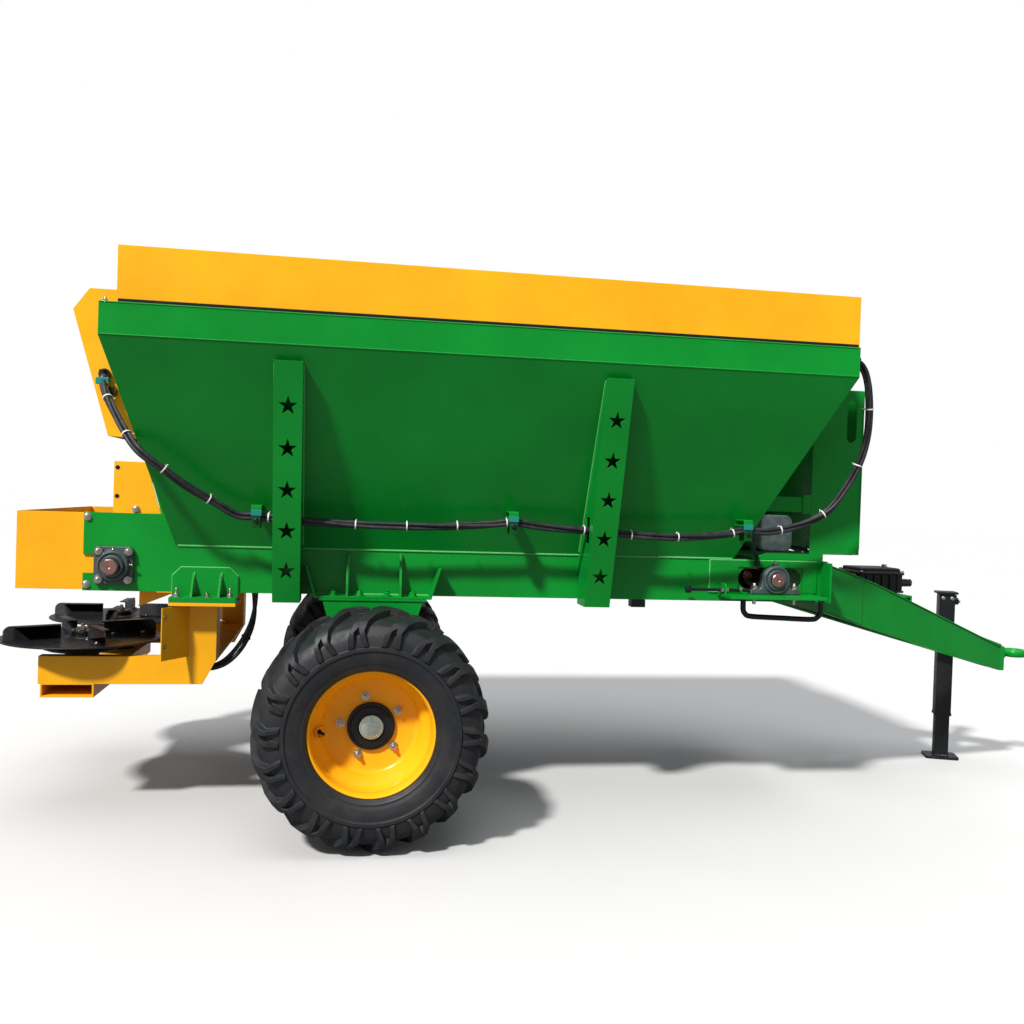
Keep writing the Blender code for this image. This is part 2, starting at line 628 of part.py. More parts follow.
def hopper_rim():
    """Upright band round the hopper's mouth, folded inwards along its top."""
    bm = bmesh.new()
    section = [(0.0, HOPPER_TOP), (0.0, RIM_TOP), (RIM_RETURN, RIM_TOP), (RIM_RETURN, RIM_TOP - STEEL),
               (STEEL, RIM_TOP - STEEL), (STEEL, HOPPER_TOP)]
    folded_ring(bm, section, (HOPPER_REAR, HOPPER_FRONT), HOPPER_HALF_WIDTH)
    rim_band = place("hopper_rim", bm, GREEN)
    clamp = (HOPPER_TOP + 0.031, RIM_TOP - 0.020)
    reach = rear_x(clamp[0]) - CYLINDER_OFFSET + CYLINDER_RADIUS * REAR_LENGTH + GAP
    join(rim_band, lambda b: block(b, (reach, HOPPER_REAR + 0.002), (-0.020, 0.020), clamp))
    return rim_band


def extension():
    """Plain boards that stand on the rim, with a small foot turned inwards."""
    bm = bmesh.new()
    foot = 0.018
    sheet = 0.003
    section = [(0.0, EXTENSION_BOTTOM), (0.0, EXTENSION_TOP), (sheet, EXTENSION_TOP),
               (sheet, EXTENSION_BOTTOM + sheet), (foot, EXTENSION_BOTTOM + sheet), (foot, EXTENSION_BOTTOM)]
    x = (HOPPER_REAR + EXTENSION_INSET + 0.020, HOPPER_FRONT + 0.010)
    folded_ring(bm, section, x, HOPPER_HALF_WIDTH - EXTENSION_INSET)
    return place("extension", bm, AMBER)


def star(centre, radius):
    """Five-pointed star standing on two points, in the plane of X and Z."""
    inner = radius * 0.382
    points = []
    for k in range(10):
        reach = radius if k % 2 == 0 else inner
        angle = pi / 2 + k * pi / 5
        points.append((centre[0] + reach * cos(angle), centre[1] + reach * sin(angle)))
    return points


def post(name, sign, x):
    """Channel that props the hopper wall on the frame, with stars cut in its face."""
    bm = bmesh.new()
    wall = 0.005
    half = POST_WIDTH / 2
    sections = []
    for z in (POST_BOTTOM, FRAME_TOP, POST_TOP):
        back = (max(wall_y(z), FRAME_HALF_WIDTH) + 2 * GAP)
        face = post_face(z)
        plan = [(-half, back), (-half, face), (half, face), (half, back),
                (half - wall, back), (half - wall, face - wall),
                (wall - half, face - wall), (wall - half, back)]
        sections.append([(x + across_x, sign * y, z) for across_x, y in plan])
    skin(bm, sections)
    channel = place(name, bm, GREEN)
    for k in range(STAR_COUNT):
        z = POST_BOTTOM + STAR_MARGIN + k * STAR_PITCH
        low, high = across(sign, post_face(z) - 0.030, post_face(z) + 0.020)
        cut(channel, lambda b, z=z, low=low, high=high: prism(b, star((x, z), STAR_RADIUS), "Y", low, high))
    if sign < 0:
        level = FRAME_TOP + 0.100
        low, high = across(sign, 0.604, 0.656)
        cut(channel, lambda b: block(b, (x - half - 0.01, x + half + 0.01), (low, high),
                                     (level - 0.047, level + 0.047)))
    return channel


# ---------------------------------------------------------------- moving floor
def apron():
    """Endless floor chain: one fixed loop with its slats in its outline."""
    bm = bmesh.new()
    rear = REAR_SHAFT_X
    front = FRONT_SHAFT_X
    pitch = (front - rear) / SLAT_COUNT

    def strand(start, step, level, rise):
        points = []
        for k in range(SLAT_COUNT):
            middle = start + step * (k + 0.5)
            half = SLAT_WIDTH / 2 if step > 0 else -SLAT_WIDTH / 2
            points += [(middle - half, level), (middle - half, level + rise),
                       (middle + half, level + rise), (middle + half, level)]
        return points
    outer = strand(rear, pitch, SHAFT_Z + LOOP_OUTER, SLAT_HEIGHT)
    outer += arc((front, SHAFT_Z), LOOP_OUTER, pi / 2, -pi / 2, 8)
    outer += strand(front, -pitch, SHAFT_Z - LOOP_OUTER, -SLAT_HEIGHT)
    outer += arc((rear, SHAFT_Z), LOOP_OUTER, -pi / 2, -3 * pi / 2, 8)
    inner = (arc((front, SHAFT_Z), LOOP_INNER, pi / 2, -pi / 2, 12)
             + arc((rear, SHAFT_Z), LOOP_INNER, -pi / 2, -3 * pi / 2, 12))
    prism(bm, outer, "Y", -APRON_HALF_WIDTH, APRON_HALF_WIDTH)
    loop = place("moving_floor", bm, BLACK)
    cut(loop, lambda b: prism(b, inner, "Y", -APRON_HALF_WIDTH - 0.01, APRON_HALF_WIDTH + 0.01))
    return loop


def floor_shaft(name, x):
    """Shaft with a sprocket drum inside each chain."""
    bm = bmesh.new()
    drum = (APRON_HALF_WIDTH - 0.100, APRON_HALF_WIDTH - 0.060)
    profile = [(0.0, -SHAFT_END), (SHAFT_RADIUS, -SHAFT_END),
               (SHAFT_RADIUS, -drum[1]), (SPROCKET_RADIUS, -drum[1]), (SPROCKET_RADIUS, -drum[0]),
               (SHAFT_RADIUS, -drum[0]), (SHAFT_RADIUS, drum[0]), (SPROCKET_RADIUS, drum[0]),
               (SPROCKET_RADIUS, drum[1]), (SHAFT_RADIUS, drum[1]),
               (SHAFT_RADIUS, SHAFT_END), (0.0, SHAFT_END)]
    turned(bm, profile, (x, 0.0, SHAFT_Z), "Y", 24)
    return place(name, bm, STEEL_BARE, smooth=True)


def bore(b, x, sign, near, far):
    low, high = across(sign, near, far)
    ring = arc((x, SHAFT_Z), SHAFT_RADIUS + 2 * GAP, 0.0, 2 * pi * 23 / 24, 23)
    prism(b, ring, "Y", low, high)


def flange_bearing(name, sign):
    """Square four-bolt bearing of the rear shaft."""
    bm = bmesh.new()
    half = 0.067
    corner = 0.020
    square = []
    for k in range(4):
        turn = k * pi / 2
        centre = Vector((half - corner, half - corner))
        centre.rotate(Matrix.Rotation(turn, 2))
        square += arc((REAR_SHAFT_X + centre[0], SHAFT_Z + centre[1]), corner, turn, turn + pi / 2, 3)
    low, high = across(sign, FRAME_HALF_WIDTH + GAP, FRAME_HALF_WIDTH + 0.015)
    prism(bm, square, "Y", low, high)
    bearing = place(name, bm, CASTING)
    low, high = across(sign, FRAME_HALF_WIDTH + 0.010, FRAME_HALF_WIDTH + 0.050)
    boss = arc((REAR_SHAFT_X, SHAFT_Z), 0.046, 0.0, 2 * pi * 23 / 24, 23)
    join(bearing, lambda b: prism(b, boss, "Y", low, high))
    cut(bearing, lambda b: bore(b, REAR_SHAFT_X, sign, FRAME_HALF_WIDTH - 0.01, FRAME_HALF_WIDTH + 0.06))
    return bearing


def pillow_block(name, sign):
    """Pillow block of the front shaft, standing on its shelf."""
    bm = bmesh.new()
    base = SHELF_TOP + GAP
    foot = 0.018
    outline = [(FRONT_SHAFT_X - 0.103, base), (FRONT_SHAFT_X + 0.103, base),
               (FRONT_SHAFT_X + 0.103, base + foot), (FRONT_SHAFT_X + 0.066, base + foot)]
    outline += arc((FRONT_SHAFT_X, SHAFT_Z), 0.056, -0.15, pi + 0.15, 14)
    outline += [(FRONT_SHAFT_X - 0.066, base + foot), (FRONT_SHAFT_X - 0.103, base + foot)]
    near = FRAME_HALF_WIDTH + 0.018
    low, high = across(sign, near, near + 0.050)
    prism(bm, outline, "Y", low, high)
    bearing = place(name, bm, CASTING)
    cut(bearing, lambda b: bore(b, FRONT_SHAFT_X, sign, near - 0.01, near + 0.06))
    return bearing


# ---------------------------------------------------------------- rear gate and discharge
def gate():
    """Flat gate in its rails, with a stiffener and the lug that the cylinder's rod pulls on."""
    near = GATE_CLEARANCE
    far = near + GATE_THICKNESS
    bm = bmesh.new()
    half = GATE_HALF_WIDTH
    face = [(-half, GATE_BOTTOM), (half, GATE_BOTTOM), (half, GATE_TOP), (-half, GATE_TOP)]
    rear_prism(bm, face, near, far)
    origin = on_rear_wall(far, 0.0, GATE_BOTTOM)
    plate = place("gate", bm, AMBER, origin)
    inside = GATE_HALF_WIDTH - 0.040
    fold = [(-inside, GATE_TOP - 0.030), (inside, GATE_TOP - 0.030), (inside, GATE_TOP), (-inside, GATE_TOP)]
    join(plate, lambda b: rear_prism(b, fold, far - 0.002, far + GATE_FOLD))
    lug = [(-0.020, GATE_TOP - 0.028), (0.020, GATE_TOP - 0.028), (0.020, GATE_TOP), (-0.020, GATE_TOP)]
    join(plate, lambda b: rear_prism(b, lug, far + GATE_FOLD - 0.002, CYLINDER_OFFSET + 0.020))
    return plate


def slope_rod(bm, radius, low, high, steps=12):
    """Round bar parallel to the rear wall on the centre line, between two heights."""
    lean = Vector((-REAR_SLOPE, 0.0, 1.0)).normalized()
    side = Vector((lean.z, 0.0, -lean.x))
    sections = []
    for z in (low, high):
        centre = Vector(on_rear_wall(CYLINDER_OFFSET, 0.0, z))
        ring = []
        for k in range(steps):
            angle = 2 * pi * k / steps
            ring.append(centre + radius * (cos(angle) * side + Vector((0.0, sin(angle), 0.0))))
        sections.append(ring)
    skin(bm, sections)


def gate_rod():
    """Chromed rod that lifts the gate; it stands on the gate's lug."""
    bm = bmesh.new()
    foot = GATE_TOP + ROD_RADIUS * REAR_SLOPE + GAP
    slope_rod(bm, ROD_RADIUS, foot, BARREL_BOTTOM + 0.030)
    return place("gate_rod", bm, STEEL_BARE, on_rear_wall(CYLINDER_OFFSET, 0.0, foot), smooth=True)


def gate_cylinder():
    """Barrel of the gate's cylinder, a tube closed at its top, clamped to the hopper's rim."""
    bm = bmesh.new()
    slope_rod(bm, CYLINDER_RADIUS, BARREL_BOTTOM, BARREL_TOP, 16)
    barrel = place("gate_cylinder", bm, BLACK, smooth=True)
    cut(barrel, lambda b: slope_rod(b, ROD_RADIUS + 2 * GAP, BARREL_BOTTOM - 0.020, BARREL_TOP - 0.006))
    return barrel


def hood():
    """Folded cover over the raised gate: two cheeks and a back that follows the rear wall."""
    half = FRAME_HALF_WIDTH
    sheet = STEEL
    near = 0.002
    front = HOPPER_REAR - 2 * GAP

    def outline(shrink):
        deep = HOOD_DEPTH - shrink
        back_top = HOOD_TOP - HOOD_CHAMFER
        return [(rear_x(HOOD_BOTTOM) - near, HOOD_BOTTOM),
                (rear_x(HOOD_BOTTOM) - near - 0.050, HOOD_BOTTOM + 0.004),
                (rear_x(HOOD_BOTTOM + 0.010) - deep, HOOD_BOTTOM + 0.010),
                (rear_x(back_top) - deep, back_top),
                (rear_x(HOOD_TOP) - deep + HOOD_CHAMFER, HOOD_TOP - shrink),
                (front, HOOD_TOP - shrink),
                (front, HOPPER_TOP)]
    bm = bmesh.new()
    prism(bm, outline(0.0), "Y", -half, half)
    cover = place("gate_hood", bm, AMBER)
    inside = outline(sheet)
    inside[0] = (rear_x(HOOD_BOTTOM - 0.05) + 0.05, HOOD_BOTTOM - 0.050)
    inside[1] = (rear_x(HOOD_BOTTOM - 0.05) - HOOD_DEPTH + sheet, HOOD_BOTTOM - 0.050)
    inside[5] = (HOPPER_REAR + 0.050, HOOD_TOP - sheet)
    inside[6] = (HOPPER_REAR + 0.050, HOPPER_TOP)
    cut(cover, lambda b: prism(b, inside, "Y", sheet - half, half - sheet))
    return cover


def discharge_box():
    """Open box behind the frame that steers the manure down onto the discs."""
    bm = bmesh.new()
    outer = SIDE_INNER - GAP
    inner = outer - BOX_SHEET
    plan = [(BOX_FRONT, -outer), (BOX_FRONT, -inner), (BOX_REAR + BOX_SHEET, -inner),
            (BOX_REAR + BOX_SHEET, inner), (BOX_FRONT, inner), (BOX_FRONT, outer),
            (BOX_REAR, outer), (BOX_REAR, -outer)]
    prism(bm, plan, "Z", FRAME_BOTTOM + 0.003, FRAME_REAR_TOP - 0.002)
    body = place("discharge_box", bm, AMBER)
    ring = arc((REAR_SHAFT_X, SHAFT_Z), SHAFT_RADIUS + 0.012, 0.0, 2 * pi * 23 / 24, 23)
    cut(body, lambda b: prism(b, ring, "Y", -outer - 0.01, outer + 0.01))
    return body


def outlet_cheek(name, sign):
    """Upright cheek beside the gate, between the discharge box and the hood."""
    bm = bmesh.new()
    top = FRAME_REAR_TOP + CHEEK_HEIGHT
    bottom = FRAME_REAR_TOP - 0.100
    rear = rear_x(top) - RAIL_DEPTH - 0.112
    far = SIDE_INNER - GAP - BOX_SHEET - GAP
    low, high = across(sign, far - 0.003, far)
    fore = RAIL_DEPTH + 0.003
    outline = [(rear, bottom), (rear_x(bottom) - fore, bottom), (rear_x(top) - fore, top), (rear, top)]
    prism(bm, outline, "Y", low, high)
    cheek = place(name, bm, AMBER)
    fold = across(sign, far - 0.030, far - 0.001)
    join(cheek, lambda b: block(b, (rear, rear + 0.003), fold, (FRAME_REAR_TOP, top)))
    return cheek


def chute():
    """Sloping lip under the floor's rear end, with a divider between the two discs."""
    bm = bmesh.new()
    half = APRON_HALF_WIDTH
    high = FRAME_BOTTOM - GAP
    low = CHUTE_LOW
    front = REAR_SHAFT_X + 0.215
    back = REAR_SHAFT_X + 0.065
    outline = [(front, high), (front, high - CHUTE_SHEET), (back, low),
               (back - CHUTE_SHEET, low + CHUTE_SHEET), (front - 0.015, high)]
    prism(bm, outline, "Y", -half, half)
    lip = place("chute", bm, AMBER)
    for _, sign in sides():
        wall = across(sign, half - CHUTE_SHEET, half)
        tab = [(front - 0.010, high - 0.001), (back + 0.002, low + 0.002), (back + 0.002, high - 0.001)]
        join(lip, lambda b, wall=wall, tab=tab: prism(b, tab, "Y", wall[0], wall[1]))
        ear = across(sign, half - CHUTE_SHEET, FRAME_HALF_WIDTH)
        span = (front - 0.070, front - 0.015)
        join(lip, lambda b, ear=ear, span=span: block(b, span, ear, (high - CHUTE_SHEET, high)))
    return lip


# ---------------------------------------------------------------- spinner group
def spinner_bracket(name, sign):
    """Bolted bracket on the side plate that the spinner frame hangs from."""
    bm = bmesh.new()
    corner = 0.030
    base = COLUMN_TOP + GAP
    near = FRAME_HALF_WIDTH + GAP
    face = [(BRACKET_REAR, base), (BRACKET_FRONT, base), (BRACKET_FRONT, BRACKET_TOP - corner),
            (BRACKET_FRONT - corner, BRACKET_TOP), (BRACKET_REAR + corner, BRACKET_TOP),
            (BRACKET_REAR, BRACKET_TOP - corner)]
    low, high = across(sign, near, near + PLATE)
    prism(bm, face, "Y", low, high)
    bracket = place(name, bm, GREEN)
    shelf = across(sign, near, near + BRACKET_OUT)
    join(bracket, lambda b: block(b, (BRACKET_REAR, BRACKET_FRONT), shelf, (base, base + BRACKET_FOOT)))
    for x in (COLUMN_REAR + 0.018, COLUMN_FRONT + 0.010):
        rib = [(sign * (near + 0.002), base + 0.010), (sign * (near + BRACKET_OUT - 0.010), base + 0.010),
               (sign * (near + BRACKET_OUT - 0.020), base + 0.030),
               (sign * (near + 0.002), BRACKET_TOP - 0.012)]
        join(bracket, lambda b, x=x, rib=rib: prism(b, rib, "X", x - 0.004, x + 0.004))
    return bracket


def spinner_frame():
    """Yellow frame under the discs: arms, columns, top plates, a front cross plate and a rear tube."""
    t = ARM_SHEET
    bm = bmesh.new()
    width = (0.002 - ARM_OUT, ARM_OUT - 0.002)
    block(bm, (COLUMN_REAR, COLUMN_FRONT), width, (ARM_TOP - 0.016, ARM_TOP - 0.010))
    frame = place("spinner_frame", bm, AMBER)
    join(frame, lambda b: block(b, (COLUMN_REAR, COLUMN_REAR + t), width,
                                (ARM_BOTTOM + 0.010, ARM_TOP - 0.012)))
    for _, sign in sides():
        low, high = across(sign, ARM_OUT - t, ARM_OUT)
        side = [(ARM_REAR, ARM_BOTTOM), (COLUMN_FRONT - 0.045, ARM_BOTTOM),
                (COLUMN_FRONT, ARM_BOTTOM + COLUMN_CORNER), (COLUMN_FRONT, COLUMN_TOP),
                (COLUMN_REAR, COLUMN_TOP), (COLUMN_REAR, ARM_TOP), (ARM_REAR, ARM_TOP)]
        join(frame, lambda b, side=side, low=low, high=high: prism(b, side, "Y", low, high))
        inner = across(sign, ARM_OUT - ARM_FLANGE, ARM_OUT - 0.002)
        for level in (ARM_TOP - t, ARM_BOTTOM):
            join(frame, lambda b, inner=inner, level=level: block(b, (ARM_REAR, COLUMN_REAR + 0.020), inner,
                                                                  (level, level + t)))
        deep = across(sign, ARM_OUT - 0.090, ARM_OUT - 0.002)
        join(frame, lambda b, deep=deep: block(b, (COLUMN_FRONT - t, COLUMN_FRONT), deep,
                                               (ARM_BOTTOM + COLUMN_CORNER, COLUMN_TOP)))
        cap = across(sign, ARM_OUT - 0.090, FRAME_HALF_WIDTH + BRACKET_OUT)
        join(frame, lambda b, cap=cap: block(b, (BRACKET_REAR, BRACKET_FRONT), cap,
                                             (COLUMN_TOP - 2 * t, COLUMN_TOP)))
        guard = [(COLUMN_REAR - 0.070, sign * (ARM_OUT + 0.110)),
                 (COLUMN_REAR - 0.067, sign * (ARM_OUT + 0.112)),
                 (COLUMN_REAR + 0.006, sign * (ARM_OUT + 0.003)),
                 (COLUMN_REAR + 0.004, sign * (ARM_OUT - 0.004)),
                 (COLUMN_REAR + 0.001, sign * (ARM_OUT - 0.004))]
        join(frame, lambda b, guard=guard: prism(b, guard, "Z", ARM_TOP + 0.002, COLUMN_TOP - 2 * t - 0.004))
    half = CHANNEL_WIDTH / 2
    top = ARM_BOTTOM + 0.003
    base = top - CHANNEL_HEIGHT
    join(frame, lambda b: block(b, (DISC_X - half, DISC_X + half), (-ARM_OUT, ARM_OUT), (base, top)))
    cut(frame, lambda b: block(b, (DISC_X - half + t, DISC_X + half - t), (-ARM_OUT - 0.01, ARM_OUT + 0.01),
                               (base + t, top - t)))
    return frame


def spinner_motor(name, sign):
    """Hydraulic motor with its bearing housing, standing on the rear cross channel."""
    bm = bmesh.new()
    base = ARM_BOTTOM + 0.003 + GAP - DISC_Z
    profile = [(0.0, base), (MOTOR_RADIUS, base), (MOTOR_RADIUS, -0.048), (CONE_RADIUS, -0.034),
               (CONE_RADIUS, -0.026), (0.075, -0.007), (0.0, -0.007)]
    turned(bm, profile, (DISC_X, sign * DISC_Y, DISC_Z), "Z", 28)
    return place(name, bm, BLACK, (DISC_X, sign * DISC_Y, DISC_Z), smooth=True)


def disc(name, sign, start):
    """Spinning disc with upright blades, each turned over along its top."""
    bm = bmesh.new()
    centre = (DISC_X, sign * DISC_Y, DISC_Z)
    profile = [(0.0, -0.0067), (0.045, -0.0067), (0.045, 0.0), (DISC_RADIUS, 0.0), (DISC_RADIUS, DISC_PLATE),
               (0.050, DISC_PLATE), (0.045, 0.028), (0.0, 0.028)]
    turned(bm, profile, centre, "Z", 36)
    plate = place(name, bm, BLACK, centre, smooth=True)

    def blade(b, angle):
        half = BLADE_SHEET / 2
        top = DISC_PLATE + BLADE_HEIGHT
        section = [(-half, DISC_PLATE - 0.002), (half, DISC_PLATE - 0.002), (half, top - BLADE_SHEET),
                   (BLADE_FLANGE, top - BLADE_SHEET), (BLADE_FLANGE, top), (-half, top)]
        rings = [[(reach, y, z) for y, z in section] for reach in (BLADE_INNER, DISC_RADIUS - 0.013)]
        turn = Matrix.Rotation(angle, 3, "Z")
        skin(b, [[Vector(centre) + turn @ Vector(point) for point in ring] for ring in rings])
    for k in range(BLADE_COUNT):
        join(plate, lambda b, k=k: blade(b, start + 2 * pi * k / BLADE_COUNT))
    return plate


# ---------------------------------------------------------------- axle and wheels
def axle_bracket(name, sign):
    """Green tray under the side plate: flared arms, a bottom plate and two ribs."""
    bm = bmesh.new()
    base = FRAME_BOTTOM - 0.006
    near = FRAME_HALF_WIDTH + GAP
    far = PEDESTAL_OUT + 0.004
    t = PLATE
    outline = [(-TRAY_HALF_LENGTH, base), (TRAY_HALF_LENGTH, base), (TRAY_MOUTH_HALF, base + TRAY_HEIGHT),
               (TRAY_MOUTH_HALF - t, base + TRAY_HEIGHT), (TRAY_HALF_LENGTH - t, base + t),
               (t - TRAY_HALF_LENGTH, base + t), (t - TRAY_MOUTH_HALF, base + TRAY_HEIGHT),
               (-TRAY_MOUTH_HALF, base + TRAY_HEIGHT)]
    low, high = across(sign, near, far)
    prism(bm, outline, "Y", low, high)
    tray = place(name, bm, GREEN)
    for x in (-0.094, 0.098):
        rib = [(sign * near, base + 0.004), (sign * (far - 0.004), base + 0.004),
               (sign * (far - 0.012), base + 0.050), (sign * (near + 0.012), RIB_TOP), (sign * near, RIB_TOP)]
        join(tray, lambda b, x=x, rib=rib: prism(b, rib, "X", x - 0.004, x + 0.004))
    return tray


def axle():
    """Solid square axle with its stubs and the two pedestals welded on it."""
    bm = bmesh.new()
    half = AXLE_SIZE / 2
    reach = TRACK / 2 - TYRE_WIDTH / 2 - 0.020
    block(bm, (-half, half), (-reach, reach), (WHEEL_Z - half, WHEEL_Z + half))
    beam = place("axle", bm, GREEN)
    stub_end = TRACK / 2 + 0.040
    profile = [(0.0, -stub_end), (STUB_RADIUS, -stub_end), (STUB_RADIUS, stub_end), (0.0, stub_end)]
    join(beam, lambda b: turned(b, profile, (0.0, 0.0, WHEEL_Z), "Y", 24))
    top = FRAME_BOTTOM - 0.006 - GAP
    t = PLATE
    for _, sign in sides():
        sections = []
        ends = ((WHEEL_Z + half - 0.002, PEDESTAL_FOOT_HALF), (top - t + 0.002, PEDESTAL_TOP_HALF))
        for z, reach_x in ends:
            plan = [(-reach_x, PEDESTAL_IN), (-reach_x, PEDESTAL_OUT),
                    (reach_x, PEDESTAL_OUT), (reach_x, PEDESTAL_IN),
                    (reach_x - t, PEDESTAL_IN), (reach_x - t, PEDESTAL_OUT - t),
                    (t - reach_x, PEDESTAL_OUT - t), (t - reach_x, PEDESTAL_IN)]
            sections.append([(x, sign * y, z) for x, y in plan])
        join(beam, lambda b, sections=sections: skin(b, sections))
        plate = across(sign, PEDESTAL_IN, PEDESTAL_OUT + 0.004)
        join(beam, lambda b, plate=plate: block(b, (-PEDESTAL_TOP_HALF - 0.012, PEDESTAL_TOP_HALF + 0.012),
                                                plate, (top - t, top)))
    return beam


def tyre(name, sign):
    """Hollow tyre carcass out to the tops of its lugs, open towards the rim."""
    bm = bmesh.new()
    crown = TYRE_DIAMETER / 2 / cos(pi / WHEEL_STEPS)
    half = TYRE_WIDTH / 2
    seat = RIM_SEAT_RADIUS + 0.001 + GAP
    heel = RIM_WIDTH / 2 - 0.0075
    outer = [(seat, heel - 0.030), (seat, heel), (0.2100, heel + 0.002), (0.2115, half - 0.024),
             (0.235, half - 0.008), (0.280, half), (crown - 0.065, half - 0.004),
             (crown - 0.030, half - 0.018), (crown - 0.010, half - 0.042), (crown - 0.001, half - 0.085), (crown, 0.0)]
    inner = [(crown - 0.026, 0.0), (crown - 0.028, half - 0.095), (crown - 0.042, half - 0.050),
             (crown - 0.070, half - 0.030), (0.280, half - 0.024), (0.235, half - 0.032), (0.213, heel - 0.030)]
    profile = outer + [(r, -h) for r, h in reversed(outer[:-1])]
    profile += [(r, -h) for r, h in reversed(inner[1:])]
    profile += inner
    centre = (0.0, sign * TRACK / 2, WHEEL_Z)
    turned(bm, profile, centre, "Y", WHEEL_STEPS, pi / WHEEL_STEPS)
    return place(name, bm, RUBBER, centre, smooth=True)


def rim(name, sign):
    """Wheel: a rim with its dropped centre and the flat disc that is bolted to the hub."""
    bm = bmesh.new()
    seat = RIM_SEAT_RADIUS
    half = RIM_WIDTH / 2
    lip = seat + 0.018
    well = seat - 0.026
    t = 0.005
    disc_face = DISH
    disc_back = disc_face - PLATE
    hole = 0.0800
    profile = [(lip, -half), (lip, t - half), (seat + 0.001, t - half + 0.002), (seat, -half + 0.070),
               (well, -half + 0.090), (well, half - 0.110), (seat, half - 0.080),
               (seat + 0.001, half - t - 0.002), (lip, half - t), (lip, half),
               (seat - t, half), (seat - t, half - 0.078), (well - t, half - 0.108),
               (well - t, disc_face), (hole, disc_face), (hole, disc_back), (well - t, disc_back),
               (well - t, -half + 0.088), (seat - t, -half + 0.068), (seat - t, -half)]
    centre = (0.0, sign * TRACK / 2, WHEEL_Z)
    outward = [(r, sign * h) for r, h in profile]
    turned(bm, outward, centre, "Y", WHEEL_STEPS, pi / WHEEL_STEPS)
    return place(name, bm, AMBER, centre, smooth=True)


def hub(name, sign):
    """Hub that turns on the stub axle, with a flange behind the wheel's disc and a closed cap."""
    bm = bmesh.new()
    back = DISH - PLATE - GAP
    run = STUB_RADIUS + 0.0006
    end = 0.040 + 0.006
    profile = [(0.0, end + 0.014), (0.039, end + 0.014), (0.039, end + 0.002), (0.0775, end), (0.0775, back),
               (0.125, back), (0.125, back - 0.012), (0.070, back - 0.012), (0.055, -0.105), (run, -0.105),
               (run, end - 0.003), (0.0, end - 0.003)]
    centre = (0.0, sign * TRACK / 2, WHEEL_Z)
    outward = [(r, sign * h) for r, h in profile]
    turned(bm, outward, centre, "Y", 24)
    return place(name, bm, BLACK, centre, smooth=True)


# ---------------------------------------------------------------- drawbar, hitch and jack
def drawbar_beam(name, sign):
    """Folded channel, open towards the centre line, from the frame's front plate to the hitch."""
    bm = bmesh.new()
    t = PLATE
    lean = 1.0 / cos(BEAM_ANGLE)
    sections = []
    for x, bottom, top in ((BEAM_REAR_X, BEAM_REAR_BOTTOM, BEAM_REAR_TOP),
                           (BEAM_KNEE_X, BEAM_KNEE_BOTTOM, BEAM_KNEE_TOP),
                           (BEAM_FRONT_X, BEAM_FRONT_BOTTOM, BEAM_FRONT_TOP)):
        face = beam_y(x)
        plan = [(face, bottom), (face, top),
                (face - BEAM_FLANGE * lean, top), (face - BEAM_FLANGE * lean, top - t),
                (face - t * lean, top - t), (face - t * lean, bottom + t),
                (face - BEAM_FLANGE * lean, bottom + t), (face - BEAM_FLANGE * lean, bottom)]
        sections.append([(x, sign * y, z) for y, z in plan])
    skin(bm, sections)
    return place(name, bm, GREEN)


def hitch():
    """Head plate across the drawbar's front end with the level ring eye."""
    bm = bmesh.new()
    x0 = BEAM_FRONT_X + GAP
    x1 = x0 + HEAD_LENGTH
    half = BEAM_FRONT_Y
    block(bm, (x0, x1), (-half, half), (BEAM_FRONT_BOTTOM, BEAM_FRONT_TOP))
    head = place("hitch", bm, GREEN)
    collar = [(0.0, 0.0), (0.036, 0.0), (0.036, 0.030), (0.0, 0.030)]
    join(head, lambda b: turned(b, collar, (x1 - 0.002, 0.0, EYE_Z), "X", 20))
    join(head, lambda b: block(b, (x1 + 0.010, EYE_X - EYE_BORE - 0.012), (-0.024, 0.024),
                               (EYE_Z - EYE_THICKNESS / 2 + 0.002, EYE_Z + EYE_THICKNESS / 2 - 0.002)))
    ring = [(EYE_BORE, -EYE_THICKNESS / 2 + 0.006), (EYE_BORE + 0.006, -EYE_THICKNESS / 2),
            (EYE_RADIUS - 0.006, -EYE_THICKNESS / 2), (EYE_RADIUS, -EYE_THICKNESS / 2 + 0.006),
            (EYE_RADIUS, EYE_THICKNESS / 2 - 0.006), (EYE_RADIUS - 0.006, EYE_THICKNESS / 2),
            (EYE_BORE + 0.006, EYE_THICKNESS / 2), (EYE_BORE, EYE_THICKNESS / 2 - 0.006)]
    join(head, lambda b: turned(b, ring, (EYE_X, 0.0, EYE_Z), "Z", 28))
    return head


def jack_place():
    """Centre line of the jack: beside the outer face of the left drawbar beam."""
    stand_off = (JACK_SIZE / 2 + GAP) / cos(BEAM_ANGLE)
    return Vector((JACK_X, beam_y(JACK_X) + stand_off, 0.0))


def turned_block(bm, centre, half_x, half_y, z):
    """Box turned in plan to follow the left drawbar beam."""
    turn = Matrix.Rotation(-BEAM_ANGLE, 3, "Z")
    corners = [(-half_x, -half_y), (half_x, -half_y), (half_x, half_y), (-half_x, half_y)]
    skin(bm, [[centre + turn @ Vector((x, y, 0.0)) + Vector((0.0, 0.0, level)) for x, y in corners]
              for level in z])


